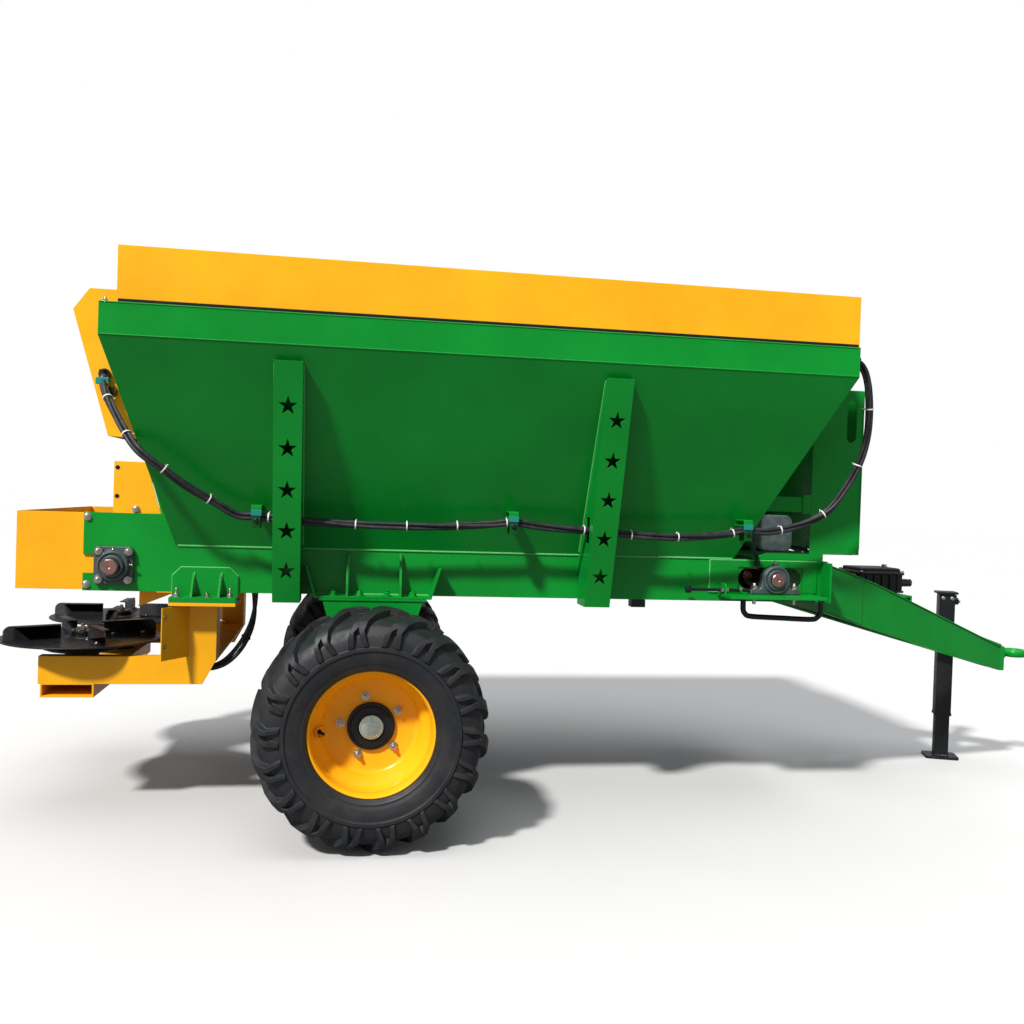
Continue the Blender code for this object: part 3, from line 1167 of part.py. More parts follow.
def jack_tube():
    """Outer tube of the parking jack with its cap and the pad bolted to the beam."""
    centre = jack_place()
    half = JACK_SIZE / 2
    bm = bmesh.new()
    turned_block(bm, centre, half, half, (JACK_TUBE_BOTTOM, JACK_TOP))
    tube = place("jack_tube", bm, BLACK)
    cap = (JACK_TOP - 0.002, JACK_TOP + 0.010)
    join(tube, lambda b: turned_block(b, centre, JACK_CAP / 2, half + 0.010, cap))
    inner = half - JACK_WALL
    cut(tube, lambda b: turned_block(b, centre, inner, inner, (JACK_TUBE_BOTTOM - 0.010, JACK_TOP - 0.004)))
    return tube


def jack_leg():
    """Inner leg of the jack with its foot on the ground."""
    centre = jack_place()
    bm = bmesh.new()
    half = LEG_SIZE / 2
    turned_block(bm, centre, half, half, (FOOT_THICKNESS - 0.002, LEG_TOP))
    leg = place("jack_leg", bm, BLACK, tuple(centre))
    join(leg, lambda b: turned_block(b, centre, FOOT_SIZE / 2, 0.055, (0.0, FOOT_THICKNESS)))
    return leg


# ---------------------------------------------------------------- drive and front cover
def gearbox():
    """Drive block on the drawbar between the beams, with the neck of its input shaft."""
    bm = bmesh.new()
    half = BOX_SIZE[1] / 2
    block(bm, (BOX_BACK, BOX_NOSE), (-half, half), (BOX_SEAT + GAP, BOX_SEAT + BOX_SIZE[2]))
    body = place("gearbox", bm, BLACK)
    neck = [(0.0, -0.002), (0.036, -0.002), (0.036, 0.028), (0.0, 0.028)]
    join(body, lambda b: turned(b, neck, (BOX_NOSE, 0.0, INPUT_Z), "X", 20))
    return body


def gearbox_seat():
    """Folded cross plate between the drawbar beams that carries the drive block."""
    bm = bmesh.new()
    rear = BOX_BACK - 0.010
    front = BOX_NOSE - 0.030

    def inner(x):
        return beam_y(x) - BEAM_FLANGE / cos(BEAM_ANGLE) - GAP
    plan = [(rear, -inner(rear)), (front, -inner(front)), (front, inner(front)), (rear, inner(rear))]
    prism(bm, plan, "Z", BOX_SEAT - 0.050, BOX_SEAT)
    seat = place("gearbox_seat", bm, GREEN)
    cut(seat, lambda b: block(b, (rear + PLATE, front - PLATE), (-FRAME_HALF_WIDTH, FRAME_HALF_WIDTH),
                              (BOX_SEAT - 0.080, BOX_SEAT - PLATE)))
    return seat


def input_shaft():
    """Splined shaft that the tractor's drive shaft turns."""
    bm = bmesh.new()
    root = BOX_NOSE + 0.028 + GAP
    r = INPUT_RADIUS
    profile = [(0.0, 0.0), (r, 0.0), (r, 0.060), (r - 0.0025, 0.064), (0.0, 0.064)]
    turned(bm, profile, (root, 0.0, INPUT_Z), "X", 16)
    return place("input_shaft", bm, STEEL_BARE, (root, 0.0, INPUT_Z), smooth=True)


def front_cover():
    """Sheet cover in front of the hopper: two cheeks, each with a hand slot, and a face."""
    bm = bmesh.new()
    half = COVER_HALF_WIDTH
    sheet = STEEL
    plan = [(COVER_REAR, -half), (COVER_FRONT, -half), (COVER_FRONT, half), (COVER_REAR, half),
            (COVER_REAR, half - sheet), (COVER_FRONT - sheet, half - sheet),
            (COVER_FRONT - sheet, sheet - half), (COVER_REAR, sheet - half)]
    prism(bm, plan, "Z", COVER_BOTTOM, COVER_TOP)
    cover = place("front_cover", bm, GREEN)
    slot = (arc((COVER_FRONT - 0.050, COVER_TOP - 0.060), 0.020, 0.0, pi, 6)
            + arc((COVER_FRONT - 0.050, COVER_TOP - 0.190), 0.020, pi, 2 * pi, 6))
    cut(cover, lambda b: prism(b, slot, "Y", -half - 0.01, half + 0.01))
    return cover


def cover_strut():
    """Level bar from the hopper's front wall to the cover's cheeks, one on each side, with a cross bar."""
    bm = bmesh.new()
    far = COVER_HALF_WIDTH - STEEL - GAP
    back = front_x(STRUT_TOP) + GAP * 3
    fold = COVER_REAR + 0.040
    plan = [(back, -far), (fold, -far), (fold, PLATE - far), (back + PLATE, PLATE - far),
            (back + PLATE, far - PLATE), (fold, far - PLATE), (fold, far), (back, far)]
    prism(bm, plan, "Z", STRUT_BOTTOM, STRUT_TOP)
    return place("cover_strut", bm, GREEN)


def oil_tank():
    """Grey oil tank behind the front cover, on the frame's front end."""
    bm = bmesh.new()
    x = (FRAME_FRONT - TANK_BEHIND - TANK_LENGTH, FRAME_FRONT - TANK_BEHIND)
    z = (COVER_BOTTOM, COVER_BOTTOM + TANK_HEIGHT)
    r = 0.030
    outline = (arc((x[1] - r, z[1] - r), r, 0.0, pi / 2, 4) + arc((x[0] + r, z[1] - r), r, pi / 2, pi, 4)
               + arc((x[0] + r, z[0] + r), r, pi, 3 * pi / 2, 4)
               + arc((x[1] - r, z[0] + r), r, 3 * pi / 2, 2 * pi, 4))
    prism(bm, outline, "Y", -TANK_HALF_WIDTH, TANK_HALF_WIDTH)
    return place("oil_tank", bm, CASTING)


def front_deck():
    """Folded deck across the frame's front end that carries the oil tank and closes the front."""
    bm = bmesh.new()
    rear = front_x(FRAME_TOP) + 0.080
    top = COVER_BOTTOM - GAP
    outline = [(rear, FRAME_TOP + GAP), (FRAME_FRONT, FRAME_TOP + GAP),
               (FRAME_FRONT, top), (rear + 0.060, top),
               (rear, FRAME_TOP + 0.008)]
    prism(bm, outline, "Y", -FRAME_HALF_WIDTH, FRAME_HALF_WIDTH)
    return place("front_deck", bm, GREEN)


# ---------------------------------------------------------------- hoses
def smooth_route(points, spacing):
    """Even points on a Catmull-Rom curve through the route's own points."""
    knots = [Vector(point) for point in points]
    knots = [2 * knots[0] - knots[1]] + knots + [2 * knots[-1] - knots[-2]]
    fine = []
    for a, b, c, d in zip(knots, knots[1:], knots[2:], knots[3:]):
        for k in range(12):
            t = k / 12
            fine.append(0.5 * ((2 * b) + (c - a) * t + (2 * a - 5 * b + 4 * c - d) * t ** 2
                               + (3 * b - a - 3 * c + d) * t ** 3))
    fine.append(knots[-2])
    lengths = [0.0]
    for p, q in zip(fine, fine[1:]):
        lengths.append(lengths[-1] + (q - p).length)
    count = round(lengths[-1] / spacing)
    route = []
    i = 0
    for k in range(count + 1):
        goal = lengths[-1] * k / count
        while i < len(fine) - 2 and lengths[i + 1] < goal:
            i += 1
        share = (goal - lengths[i]) / (lengths[i + 1] - lengths[i])
        route.append(fine[i].lerp(fine[i + 1], share))
    return route


def hose(name, points, spacing):
    """Hose bundle held all the way: a round tube along the smooth line through its points."""
    curve = bpy.data.curves.new(name, "CURVE")
    curve.dimensions = "3D"
    curve.bevel_depth = HOSE_RADIUS
    curve.bevel_resolution = 2
    curve.use_fill_caps = True
    route = smooth_route(points, spacing)
    spline = curve.splines.new("POLY")
    spline.points.add(len(route) - 1)
    for point, place_at in zip(spline.points, route):
        point.co = (*place_at, 1.0)
    bundle = bpy.data.objects.new(name, curve)
    bpy.context.scene.collection.objects.link(bundle)
    bundle.parent = MACHINE
    curve.materials.append(HOSE)
    return bundle


# ---------------------------------------------------------------- the machine
def build():
    for side, sign in sides():
        side_plate("side_plate_" + side, sign)
        hopper_side("hopper_side_" + side, sign)
        for end, x in zip(("rear", "front"), POST_STATIONS):
            post(f"post_{end}_{side}", sign, x)
        flange_bearing("rear_bearing_" + side, sign)
        pillow_block("front_bearing_" + side, sign)
        outlet_cheek("outlet_cheek_" + side, sign)
        spinner_bracket("spinner_bracket_" + side, sign)
        spinner_motor("spinner_motor_" + side, sign)
        axle_bracket("axle_bracket_" + side, sign)
        drawbar_beam("drawbar_beam_" + side, sign)
        tyre("tyre_" + side, sign)
        rim("rim_" + side, sign)
        hub("hub_" + side, sign)
    disc("disc_right", -1.0, radians(30.0))
    disc("disc_left", 1.0, radians(0.0))
    underframe()
    front_plate()
    floor_plate()
    hopper_front()
    hopper_rear()
    hopper_rim()
    extension()
    apron()
    floor_shaft("rear_shaft", REAR_SHAFT_X)
    floor_shaft("front_shaft", FRONT_SHAFT_X)
    gate()
    gate_rod()
    gate_cylinder()
    hood()
    discharge_box()
    chute()
    spinner_frame()
    axle()
    hitch()
    jack_tube()
    jack_leg()
    gearbox()
    gearbox_seat()
    input_shaft()
    front_cover()
    cover_strut()
    front_deck()
    oil_tank()
    hose("hose_bundle", HOSE_POINTS, HOSE_SPACING)
    hose("spinner_hose", SPINNER_HOSE_POINTS, SHORT_SPACING)


build()
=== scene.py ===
"""Finish of a towed manure spreader: paint, tyres, castings, hoses, bolts and welds round its frame.

Laid out as an add-on: one operator for each group of pieces, their sizes and colours as properties,
and one panel that lists them.  Metres, +X towards the hitch, +Y to the machine's left, +Z up.
"""

import json
from math import cos, pi, radians, sin

import bmesh
import bpy
import numpy as np
from bpy.props import FloatProperty, FloatVectorProperty, IntProperty, PointerProperty
from mathutils import Matrix, Vector


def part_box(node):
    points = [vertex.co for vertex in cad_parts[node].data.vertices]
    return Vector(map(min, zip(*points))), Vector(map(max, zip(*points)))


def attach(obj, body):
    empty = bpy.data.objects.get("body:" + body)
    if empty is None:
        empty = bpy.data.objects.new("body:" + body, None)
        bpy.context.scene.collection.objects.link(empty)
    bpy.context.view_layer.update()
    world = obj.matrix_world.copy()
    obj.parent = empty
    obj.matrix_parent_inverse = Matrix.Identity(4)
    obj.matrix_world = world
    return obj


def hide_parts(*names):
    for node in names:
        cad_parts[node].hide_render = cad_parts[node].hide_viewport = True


bl_info = {
    "name": "Manure spreader finish",
    "version": (1, 0, 0),
    "blender": (4, 5, 0),
    "location": "View3D > Sidebar > Spreader",
    "description": "Builds the visible surfaces of a towed manure spreader round its frame",
    "category": "Object",
}

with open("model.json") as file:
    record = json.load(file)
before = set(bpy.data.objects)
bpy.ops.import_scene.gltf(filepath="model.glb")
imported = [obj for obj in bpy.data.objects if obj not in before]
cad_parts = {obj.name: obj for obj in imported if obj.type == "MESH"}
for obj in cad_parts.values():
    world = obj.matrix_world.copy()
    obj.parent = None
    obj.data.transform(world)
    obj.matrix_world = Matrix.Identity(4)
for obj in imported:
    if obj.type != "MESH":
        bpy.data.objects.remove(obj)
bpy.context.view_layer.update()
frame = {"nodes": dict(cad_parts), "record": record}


# ---------------------------------------------------------------- places, read from the frame
def corners(node):
    """Lowest and highest corner of a frame piece as numpy arrays."""
    low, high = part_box(node)
    return np.array(low), np.array(high)


def middle(node):
    """Middle of a frame piece's box."""
    return sum(corners(node)) / 2.0


TYRE_LOW, TYRE_HIGH = corners("tyre_right")
WHEEL = middle("tyre_right")
AXLE_X = WHEEL[0]
TYRE_RADIUS = (TYRE_HIGH[2] - TYRE_LOW[2]) / 2.0
TYRE_HALF = (TYRE_HIGH[1] - TYRE_LOW[1]) / 2.0
HOPPER_REAR, FRAME_TOP = corners("hopper_side_right")[0][[0, 2]]
RIM_LOW, RIM_HIGH = corners("hopper_rim")
SIDES = (("right", -1.0), ("left", 1.0))
SIDE_FACE = -0.5            # outer face of the right side plate
WALL_LEAN = 0.5117          # how far the hopper's side leans out for each metre of height
SHAFT_FACE = 0.578          # where the cross shafts' centre caps stand
CROSS_SHAFT_Z = 0.89        # height of the front shaft
HUB_CIRCLE = 0.1025         # radius of the wheel bolts' circle
LIP = 0.003                 # radius of a sheet's rounded edge
FRAME_NUT = 0.0115          # thread of the bearings' and brackets' smaller nuts
ORIGIN = (0.0, 0.0, 0.0)
UP = (0.0, 0.0, 1.0)


def wall_y(z):
    """Outer face of the right-hand hopper side at height z."""
    return SIDE_FACE - (z - FRAME_TOP) * WALL_LEAN


# ---------------------------------------------------------------- shapes
# A shape is (points, faces): an array of places, and a list of arrays of faces with equal corner counts.
def grid(points, close_u=False, close_v=False, caps=True):
    """Skin over a table of places P(u, v): every cell of the table is one four-sided face.

    A closed direction joins its last row to its first; caps put one face on each end row of u."""
    index = np.arange(points.shape[0] * points.shape[1]).reshape(points.shape[:2])
    cells = np.vstack([index, index[:1]]) if close_u else index
    cells = np.hstack([cells, cells[:, :1]]) if close_v else cells
    quads = np.stack([cells[:-1, :-1], cells[1:, :-1], cells[1:, 1:], cells[:-1, 1:]], -1).reshape(-1, 4)
    faces = [quads]
    if caps and close_v and not close_u:
        faces += [index[:1, ::-1], index[-1:]]
    return points.reshape(-1, 3), faces


def basis(direction):
    """Three unit vectors as columns, the last one along direction."""
    w = np.asarray(direction, float)
    w = w / np.linalg.norm(w)
    helper = np.array((0.0, 0.0, 1.0)) if abs(w[2]) < 0.9 else np.array((1.0, 0.0, 0.0))
    u = np.cross(helper, w)
    u = u / np.linalg.norm(u)
    return np.stack([u, np.cross(w, u), w], 1)


def lathe(profile, centre=ORIGIN, direction=UP, steps=32, ring=False):
    """Turned body: P(angle, k) = centre + r_k (cos angle u + sin angle v) + h_k w.

    The profile lists (radius, height); a ring's profile closes on itself, and any other is capped."""
    profile = np.asarray(profile, float)
    angle = 2.0 * pi * np.arange(steps) / steps
    u, v, w = basis(direction).T
    around = np.cos(angle)[:, None] * u + np.sin(angle)[:, None] * v
    points = profile[:, None, :1] * around[None] + profile[:, None, 1:] * w + np.asarray(centre)
    return grid(points, close_u=ring, close_v=True)


def inset(outline, amount):
    """Outline moved inwards by amount: each corner goes along the sum of its two edges' normals."""
    outline = np.asarray(outline, float)
    step = np.roll(outline, -1, 0) - outline
    normal = np.stack([-step[:, 1], step[:, 0]], 1) / np.linalg.norm(step, axis=1)[:, None]
    before = np.roll(normal, 1, 0)
    turn = 1.0 + (normal * before).sum(1, keepdims=True)
    return outline + amount * (normal + before) / np.maximum(turn, 0.2)


def plate(outline, axis, low, high, bevel=0.001):
    """Flat plate between two levels of an axis: the outline's ring, inset by bevel at both faces.

    Outlines run anticlockwise and hold the two other axes in X, Y, Z order."""
    outline = np.asarray(outline, float)
    area = np.sum(outline[:, 0] * np.roll(outline[:, 1], -1) - outline[:, 1] * np.roll(outline[:, 0], -1))
    outline = outline if area > 0 else outline[::-1]
    rings = [(inset(outline, bevel), low), (outline, low + bevel), (outline, high - bevel),
             (inset(outline, bevel), high)]
    order = {"X": (2, 0, 1), "Y": (0, 2, 1), "Z": (0, 1, 2)}[axis]
    table = np.stack([np.column_stack([ring, np.full(len(ring), level)])[:, order] for ring, level in rings])
    return grid(table, close_v=True)


def box(low, high, bevel=0.001):
    """Box with chamfered edges along Z."""
    (x0, y0, z0), (x1, y1, z1) = low, high
    return plate([(x0, y0), (x1, y0), (x1, y1), (x0, y1)], "Z", z0, z1, bevel)


def arc(centre, radius, start, end, steps):
    """Points on an arc of a circle, angles in degrees."""
    angle = np.radians(np.linspace(start, end, steps))
    return np.column_stack([centre[0] + radius * np.cos(angle), centre[1] + radius * np.sin(angle)])


def rounded(half_u, half_v, radius, steps, centre=(0.0, 0.0)):
    """Rectangle with rounded corners, made of four quarter arcs."""
    return np.vstack([arc((su * (half_u - radius) + centre[0], sv * (half_v - radius) + centre[1]), radius,
                          start, start + 90, steps)
                      for su, sv, start in ((1, 1, 0), (-1, 1, 90), (-1, -1, 180), (1, -1, 270))])


def circle(radius, degrees, height=0.0):
    """Points at the given angles on a circle about Z."""
    angle = np.radians(degrees)
    return np.column_stack([radius * np.cos(angle), radius * np.sin(angle), 0 * angle + height])


def spin(angle):
    """Matrix of a turn about Z."""
    return np.array(((cos(angle), -sin(angle), 0.0), (sin(angle), cos(angle), 0.0), UP))


def route(knots, spacing):
    """Even points on the Catmull-Rom curve through the knots: a cubic in t for each gap between two."""
    knots = np.asarray(knots, float)
    knots = np.vstack([2 * knots[0] - knots[1], knots, 2 * knots[-1] - knots[-2]])
    t = (np.arange(12) / 12.0)[:, None]
    a, b, c, d = (knots[k:len(knots) - 3 + k, None, :] for k in range(4))
    square, cube = 2 * a - 5 * b + 4 * c - d, 3 * b - a - 3 * c + d
    fine = 0.5 * (2 * b + (c - a) * t + square * t ** 2 + cube * t ** 3)
    return even(np.vstack([fine.reshape(-1, 3), knots[-2]]), spacing)


def even(points, spacing):
    """The same line with its points at even distances along it."""
    points = np.asarray(points, float)
    along = np.concatenate([[0.0], np.cumsum(np.linalg.norm(np.diff(points, axis=0), axis=1))])
    goal = np.linspace(0.0, along[-1], max(2, int(round(along[-1] / spacing)) + 1))
    return np.column_stack([np.interp(goal, along, points[:, k]) for k in range(3)])


def directions(path):
    """Tangent and two cross vectors at each point of a path, from its least followed world axis."""
    tangent = np.gradient(path, axis=0)
    tangent = tangent / np.linalg.norm(tangent, axis=1)[:, None]
    helper = np.eye(3)[np.abs(tangent).max(0).argmin()]
    side = np.cross(helper, tangent)
    side = side / np.linalg.norm(side, axis=1)[:, None]
    return tangent, side, np.cross(tangent, side)


def tube(path, radius, sides=12, offset=(0.0, 0.0), turns=0.0, flat=1.0):
    """Round body along a path: P(s, a) = path + offset + radius (cos a side + sin a up).

    The offset turns about the path, so that several tubes can lie in a strand."""
    path = np.asarray(path, float)
    _, side, up = directions(path)
    share = np.linspace(0.0, 1.0, len(path))[:, None]
    twist = 2.0 * pi * turns * share + offset[1]
    centre = path + offset[0] * (np.cos(twist) * side + np.sin(twist) * up)
    angle = 2.0 * pi * np.arange(sides) / sides
    radius = np.broadcast_to(np.asarray(radius, float), (len(path),))[:, None, None]
    points = centre[:, None] + radius * (np.cos(angle)[None, :, None] * side[:, None]
                                         + flat * np.sin(angle)[None, :, None] * up[:, None])
    return grid(points, close_v=True)


def bead(path, radius=0.0035, pitch=0.006):
    """Weld along a path: a tube whose radius swells and shrinks once in every pitch."""
    line = even(path, pitch / 4.0)
    ripple = 1.0 + 0.16 * np.sin(np.arange(len(line)) * pi / 2.0)
    ripple[0] = ripple[-1] = 0.4
    return tube(line, radius * ripple, sides=6)


def copies(shape, places, turns):
    """The shape at every place, each copy turned by its own 3 x 3 matrix."""
    points, faces = shape
    places = np.asarray(places, float).reshape(-1, 3)
    turned = np.einsum("kij,nj->kni", np.asarray(turns, float), points)
    step = len(points) * np.arange(len(places))[:, None, None]
    cells = [(f[None] + step).reshape(-1, f.shape[1]) for f in faces]
    return (turned + places[:, None]).reshape(-1, 3), cells


def joined(shapes):
    """One shape out of several."""
    points, faces, start = [], [], 0
    for these, cells in shapes:
        points.append(these)
        faces += [cell + start for cell in cells]
        start += len(these)
    return np.concatenate(points), faces


def mirrored(shape):
    """The shape on the other side of the machine's centre line."""
    points, faces = shape
    return points * (1.0, -1.0, 1.0), faces


def both(shape):
    """The shape on both sides of the machine."""
    return joined([shape, mirrored(shape)])


def build(name, shapes, finish, body, replaces, crease):
    """One finished piece from a list of shapes: its mesh, outward faces, paint and body."""
    points, faces = joined(shapes)
    mesh = bpy.data.meshes.new(name)
    mesh.vertices.add(len(points))
    mesh.vertices.foreach_set("co", points.astype(np.float32).ravel())
    sizes = np.concatenate([np.full(len(f), f.shape[1]) for f in faces])
    loops = np.concatenate([f.ravel() for f in faces])
    mesh.loops.add(len(loops))
    mesh.loops.foreach_set("vertex_index", loops.astype(np.int32))
    mesh.polygons.add(len(sizes))
    mesh.polygons.foreach_set("loop_start", np.concatenate([[0], np.cumsum(sizes)[:-1]]).astype(np.int32))
    mesh.update(calc_edges=True)
    bm = bmesh.new()
    bm.from_mesh(mesh)
    bmesh.ops.recalc_face_normals(bm, faces=bm.faces[:])
    bm.to_mesh(mesh)
    bm.free()
    mesh.shade_smooth()
    mesh.set_sharp_from_angle(angle=radians(crease))
    piece = bpy.data.objects.new(name, mesh)
    bpy.context.scene.collection.objects.link(piece)
    mesh.materials.append(finish)
    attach(piece, body)
    if replaces:
        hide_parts(*replaces)


# ---------------------------------------------------------------- fastenings
def hexagon(across_flats, low, high):
    """Hexagon of a bolt or nut with its outer corners chamfered."""
    r = across_flats / 2.0 / cos(pi / 6)
    chamfer = 0.1 * across_flats
    return lathe([(r, low), (r, high - chamfer * 0.6), (r - chamfer, high)], steps=6)


def bolt(size):
    """Washer and bolt head, standing on z = 0."""
    washer = lathe([(size * 1.15, 0.0), (size * 1.15, 0.16 * size), (size * 1.05, 0.2 * size)],
                   steps=20)
    return joined([washer, hexagon(1.55 * size, 0.2 * size, 0.9 * size)])


def nut(size, stud=1.0):
    """Washer, nut and the threaded end of its stud, whose thread is a zigzag profile."""
    washer = lathe([(size * 1.15, 0.0), (size * 1.15, 0.2 * size)], steps=20)
    turns = np.arange(9)
    thread = np.column_stack([size * (0.46 + 0.04 * (turns % 2)),
                              size - 0.05 * size + turns * stud * size / 8])
    end = [(size * 0.4, thread[-1, 1] + 0.06 * size)]
    return joined([washer, hexagon(1.55 * size, 0.2 * size, size),
                   lathe(np.vstack([thread, end]), steps=12)])


def fixed(shape, places, direction):
    """The fastening at every place, its own z along direction, each one turned a little further."""
    base = basis(direction)
    return copies(shape, places, [base @ spin(0.7 * k) for k in range(len(places))])


# ---------------------------------------------------------------- colours and sizes
def colour_property(name, description, default):
    """Colour that the panel shows."""
    return FloatVectorProperty(name=name, description=description, default=default, subtype="COLOR",
                               size=3, min=0.0, max=1.0)


def length_property(name, description, default):
    """Length that the panel shows."""
    return FloatProperty(name=name, description=description, default=default, unit="LENGTH", min=0.0)


class SpreaderColours(bpy.types.PropertyGroup):
    """Colours of the machine's paints and materials."""

    green: colour_property("Green", "Paint of the hopper, frame and drawbar", (0.001, 0.225, 0.022))
    amber: colour_property("Amber", "Paint of the boards, spinner frame and wheels", (0.86, 0.395, 0.008))
    black: colour_property("Black", "Paint of the discs, jack and drive", (0.0075, 0.009, 0.011))
    tyre: colour_property("Tyre", "Rubber of the tyres", (0.009, 0.0104, 0.0138))
    hose: colour_property("Hose", "Rubber of the hoses", (0.01, 0.01, 0.012))
    shaft: colour_property("Shaft", "Turned shaft ends under their film of grease", (0.42, 0.24, 0.21))
    zinc: colour_property("Zinc", "Plated bolts and nuts", (0.52, 0.47, 0.4))
    casting: colour_property("Casting", "Painted bearing housings", (0.04, 0.055, 0.062))
    tank: colour_property("Tank", "Enamel of the oil tank", (0.42, 0.46, 0.52))
    clip: colour_property("Clip", "Hose clamps", (0.01, 0.21, 0.18))
    tie: colour_property("Tie", "Nylon cable ties", (0.78, 0.78, 0.75))
    floor: colour_property("Floor", "Studio floor", (0.52, 0.52, 0.525))


class SpreaderSizes(bpy.types.PropertyGroup):
    """Sizes of the pieces that are built round the frame."""

    lug_height: length_property("Lug height", "Tyre lugs above the tread's base", 0.02)
    lug_count: IntProperty(name="Lugs", description="Lugs round each side of a tyre", default=18, min=6)
    hose: length_property("Hose radius", "One hose of the bundle", 0.007)
    weld: length_property("Weld radius", "Half the height of a weld bead", 0.0032)
    bolt: length_property("Bolt size", "Thread of the frame's bolts", 0.012)
    lens: FloatProperty(name="Lens", description="Camera's focal length, in millimetres", default=34.48)
    camera: FloatVectorProperty(name="Camera", description="Camera's place", subtype="TRANSLATION",
                                unit="LENGTH", size=3, default=(-0.0926, -4.1339, 1.1772))


# ---------------------------------------------------------------- materials
class Nodes:
    """Short way to lay out one material's nodes, on the piece's own coordinates."""

    def __init__(self, name):
        self.material = bpy.data.materials.new(name)
        self.material.use_nodes = True
        self.tree = self.material.node_tree
        self.shader = self.tree.nodes["Principled BSDF"]
        self.place = self.node("ShaderNodeTexCoord").outputs["Object"]

    def node(self, kind, **settings):
        """New node with some of its settings."""
        made = self.tree.nodes.new(kind)
        for key, value in settings.items():
            setattr(made, key, value)
        return made

    def link(self, source, target):
        """Wire between two sockets."""
        self.tree.links.new(source, target)

    def noise(self, scale, detail=3.0, roughness=0.5, stretch=(1, 1, 1)):
        """Cloudy noise; a stretch below 1 along an axis draws it out along that axis."""
        mapping = self.node("ShaderNodeMapping")
        mapping.inputs["Scale"].default_value = stretch
        self.link(self.place, mapping.inputs["Vector"])
        noise = self.node("ShaderNodeTexNoise")
        noise.inputs["Scale"].default_value = scale
        noise.inputs["Detail"].default_value = detail
        noise.inputs["Roughness"].default_value = roughness
        self.link(mapping.outputs["Vector"], noise.inputs["Vector"])
        return noise.outputs["Fac"]

    def scaled(self, value, low, high, start=0.3, end=0.7):
        """Map a value between start and end to between low and high."""
        ranged = self.node("ShaderNodeMapRange")
        for key, number in zip(("From Min", "From Max", "To Min", "To Max"), (start, end, low, high)):
            ranged.inputs[key].default_value = number
        self.link(value, ranged.inputs["Value"])
        return ranged.outputs["Result"]

    def math(self, operation, *values):
        """Sum, product or other function of sockets and plain numbers."""
        made = self.node("ShaderNodeMath", operation=operation)
        for socket, value in zip(made.inputs, values):
            if isinstance(value, (int, float)):
                socket.default_value = value
            else:
                self.link(value, socket)
        return made.outputs["Value"]

    def mix(self, share, first, second):
        """Blend of two colours; each is a socket or a plain colour."""
        mixed = self.node("ShaderNodeMix", data_type="RGBA")
        self.link(share, mixed.inputs["Factor"])
        for socket, value in ((mixed.inputs[6], first), (mixed.inputs[7], second)):
            if isinstance(value, bpy.types.NodeSocket):
                self.link(value, socket)
            else:
                socket.default_value = (*value, 1.0)
        return mixed.outputs[2]

    def bump(self, height, distance, strength, under=None):
        """Normals of a relief, laid on those under it."""
        bump = self.node("ShaderNodeBump")
        bump.inputs["Distance"].default_value = distance
        bump.inputs["Strength"].default_value = strength
        self.link(height, bump.inputs["Height"])
        if under is not None:
            self.link(under, bump.inputs["Normal"])
        return bump.outputs["Normal"]

    def edges(self, radius):
        """Normals rounded over every edge, as paint and rubber round a sheet's cut edge."""
        bevel = self.node("ShaderNodeBevel", samples=6)
        bevel.inputs["Radius"].default_value = radius
        return bevel.outputs["Normal"]

    def finish(self, base, rough, normal, metallic=0.0, coat=0.0, specular=0.5):
        """Wire the shader up, set what is the same all over, and hand back the material."""
        self.link(base, self.shader.inputs["Base Color"])
        self.link(rough, self.shader.inputs["Roughness"])
        self.link(normal, self.shader.inputs["Normal"])
        self.shader.inputs["Metallic"].default_value = metallic
        self.shader.inputs["Specular IOR Level"].default_value = specular
        self.shader.inputs["Coat Weight"].default_value = coat
        self.shader.inputs["Coat Roughness"].default_value = 0.12
        return self.material


def shade(colour, factor):
    """The colour made lighter or darker by a factor."""
    return tuple(min(1.0, c * factor) for c in colour)


DUST = (0.3, 0.26, 0.18)
SMUDGE = (0.022, 0.02, 0.019)       # dry soil rubbed into the rubber
SCRATCH = (0.07, 0.075, 0.08)


def gloss_paint(name, colour, rough=0.3, dust_and_highlight=DUST):
    """Sprayed gloss: faint clouds of thicker coat, orange peel, runs of dust and rounded edges; on the welds
    the dust colour is near white and paints their highlight.
    """
    n = Nodes(name)
    clouds = n.noise(2.6, 5.0, 0.55)
    base = n.mix(n.scaled(clouds, 0.0, 1.0), shade(colour, 0.86), shade(colour, 1.12))
    streaks = n.noise(7.0, 6.0, 0.65, (1.0, 1.0, 0.22))
    # Streaks and specks in the dust colour; on the welds this colour is near white and paints their
    # highlight.
    dust = n.scaled(streaks, 0.0, 0.035, 0.52, 0.78)
    base = n.mix(dust, base, dust_and_highlight)
    specks = n.scaled(n.noise(160.0, 2.0), 0.0, 0.05, 0.66, 0.74)
    base = n.mix(specks, base, shade(dust_and_highlight, 0.7))
    roughness = n.scaled(n.noise(11.0, 5.0), rough - 0.05, rough + 0.1)
    peel = n.bump(n.noise(420.0, 2.0), 0.00035, 0.35, n.edges(0.0024))
    wavy = n.bump(n.noise(5.0, 2.0), 0.004, 0.1, peel)
    return n.finish(base, roughness, wavy, coat=0.05, specular=0.2)


def satin_black(name, colour):
    """Baked satin black with fine texture and greyed, rubbed patches."""
    n = Nodes(name)
    rub = n.scaled(n.noise(14.0, 6.0, 0.65), 0.0, 0.4, 0.52, 0.8)
    base = n.mix(rub, colour, shade(colour, 2.2))
    scratch = n.scaled(n.noise(90.0, 3.0, 0.6, (0.12, 1.0, 1.0)), 0.0, 0.25, 0.66, 0.74)
    base = n.mix(scratch, base, SCRATCH)
    roughness = n.scaled(n.noise(26.0, 4.0), 0.22, 0.42)
    return n.finish(base, roughness, n.bump(n.noise(520.0, 2.0), 0.0004, 0.4, n.edges(0.0012)), specular=0.3)


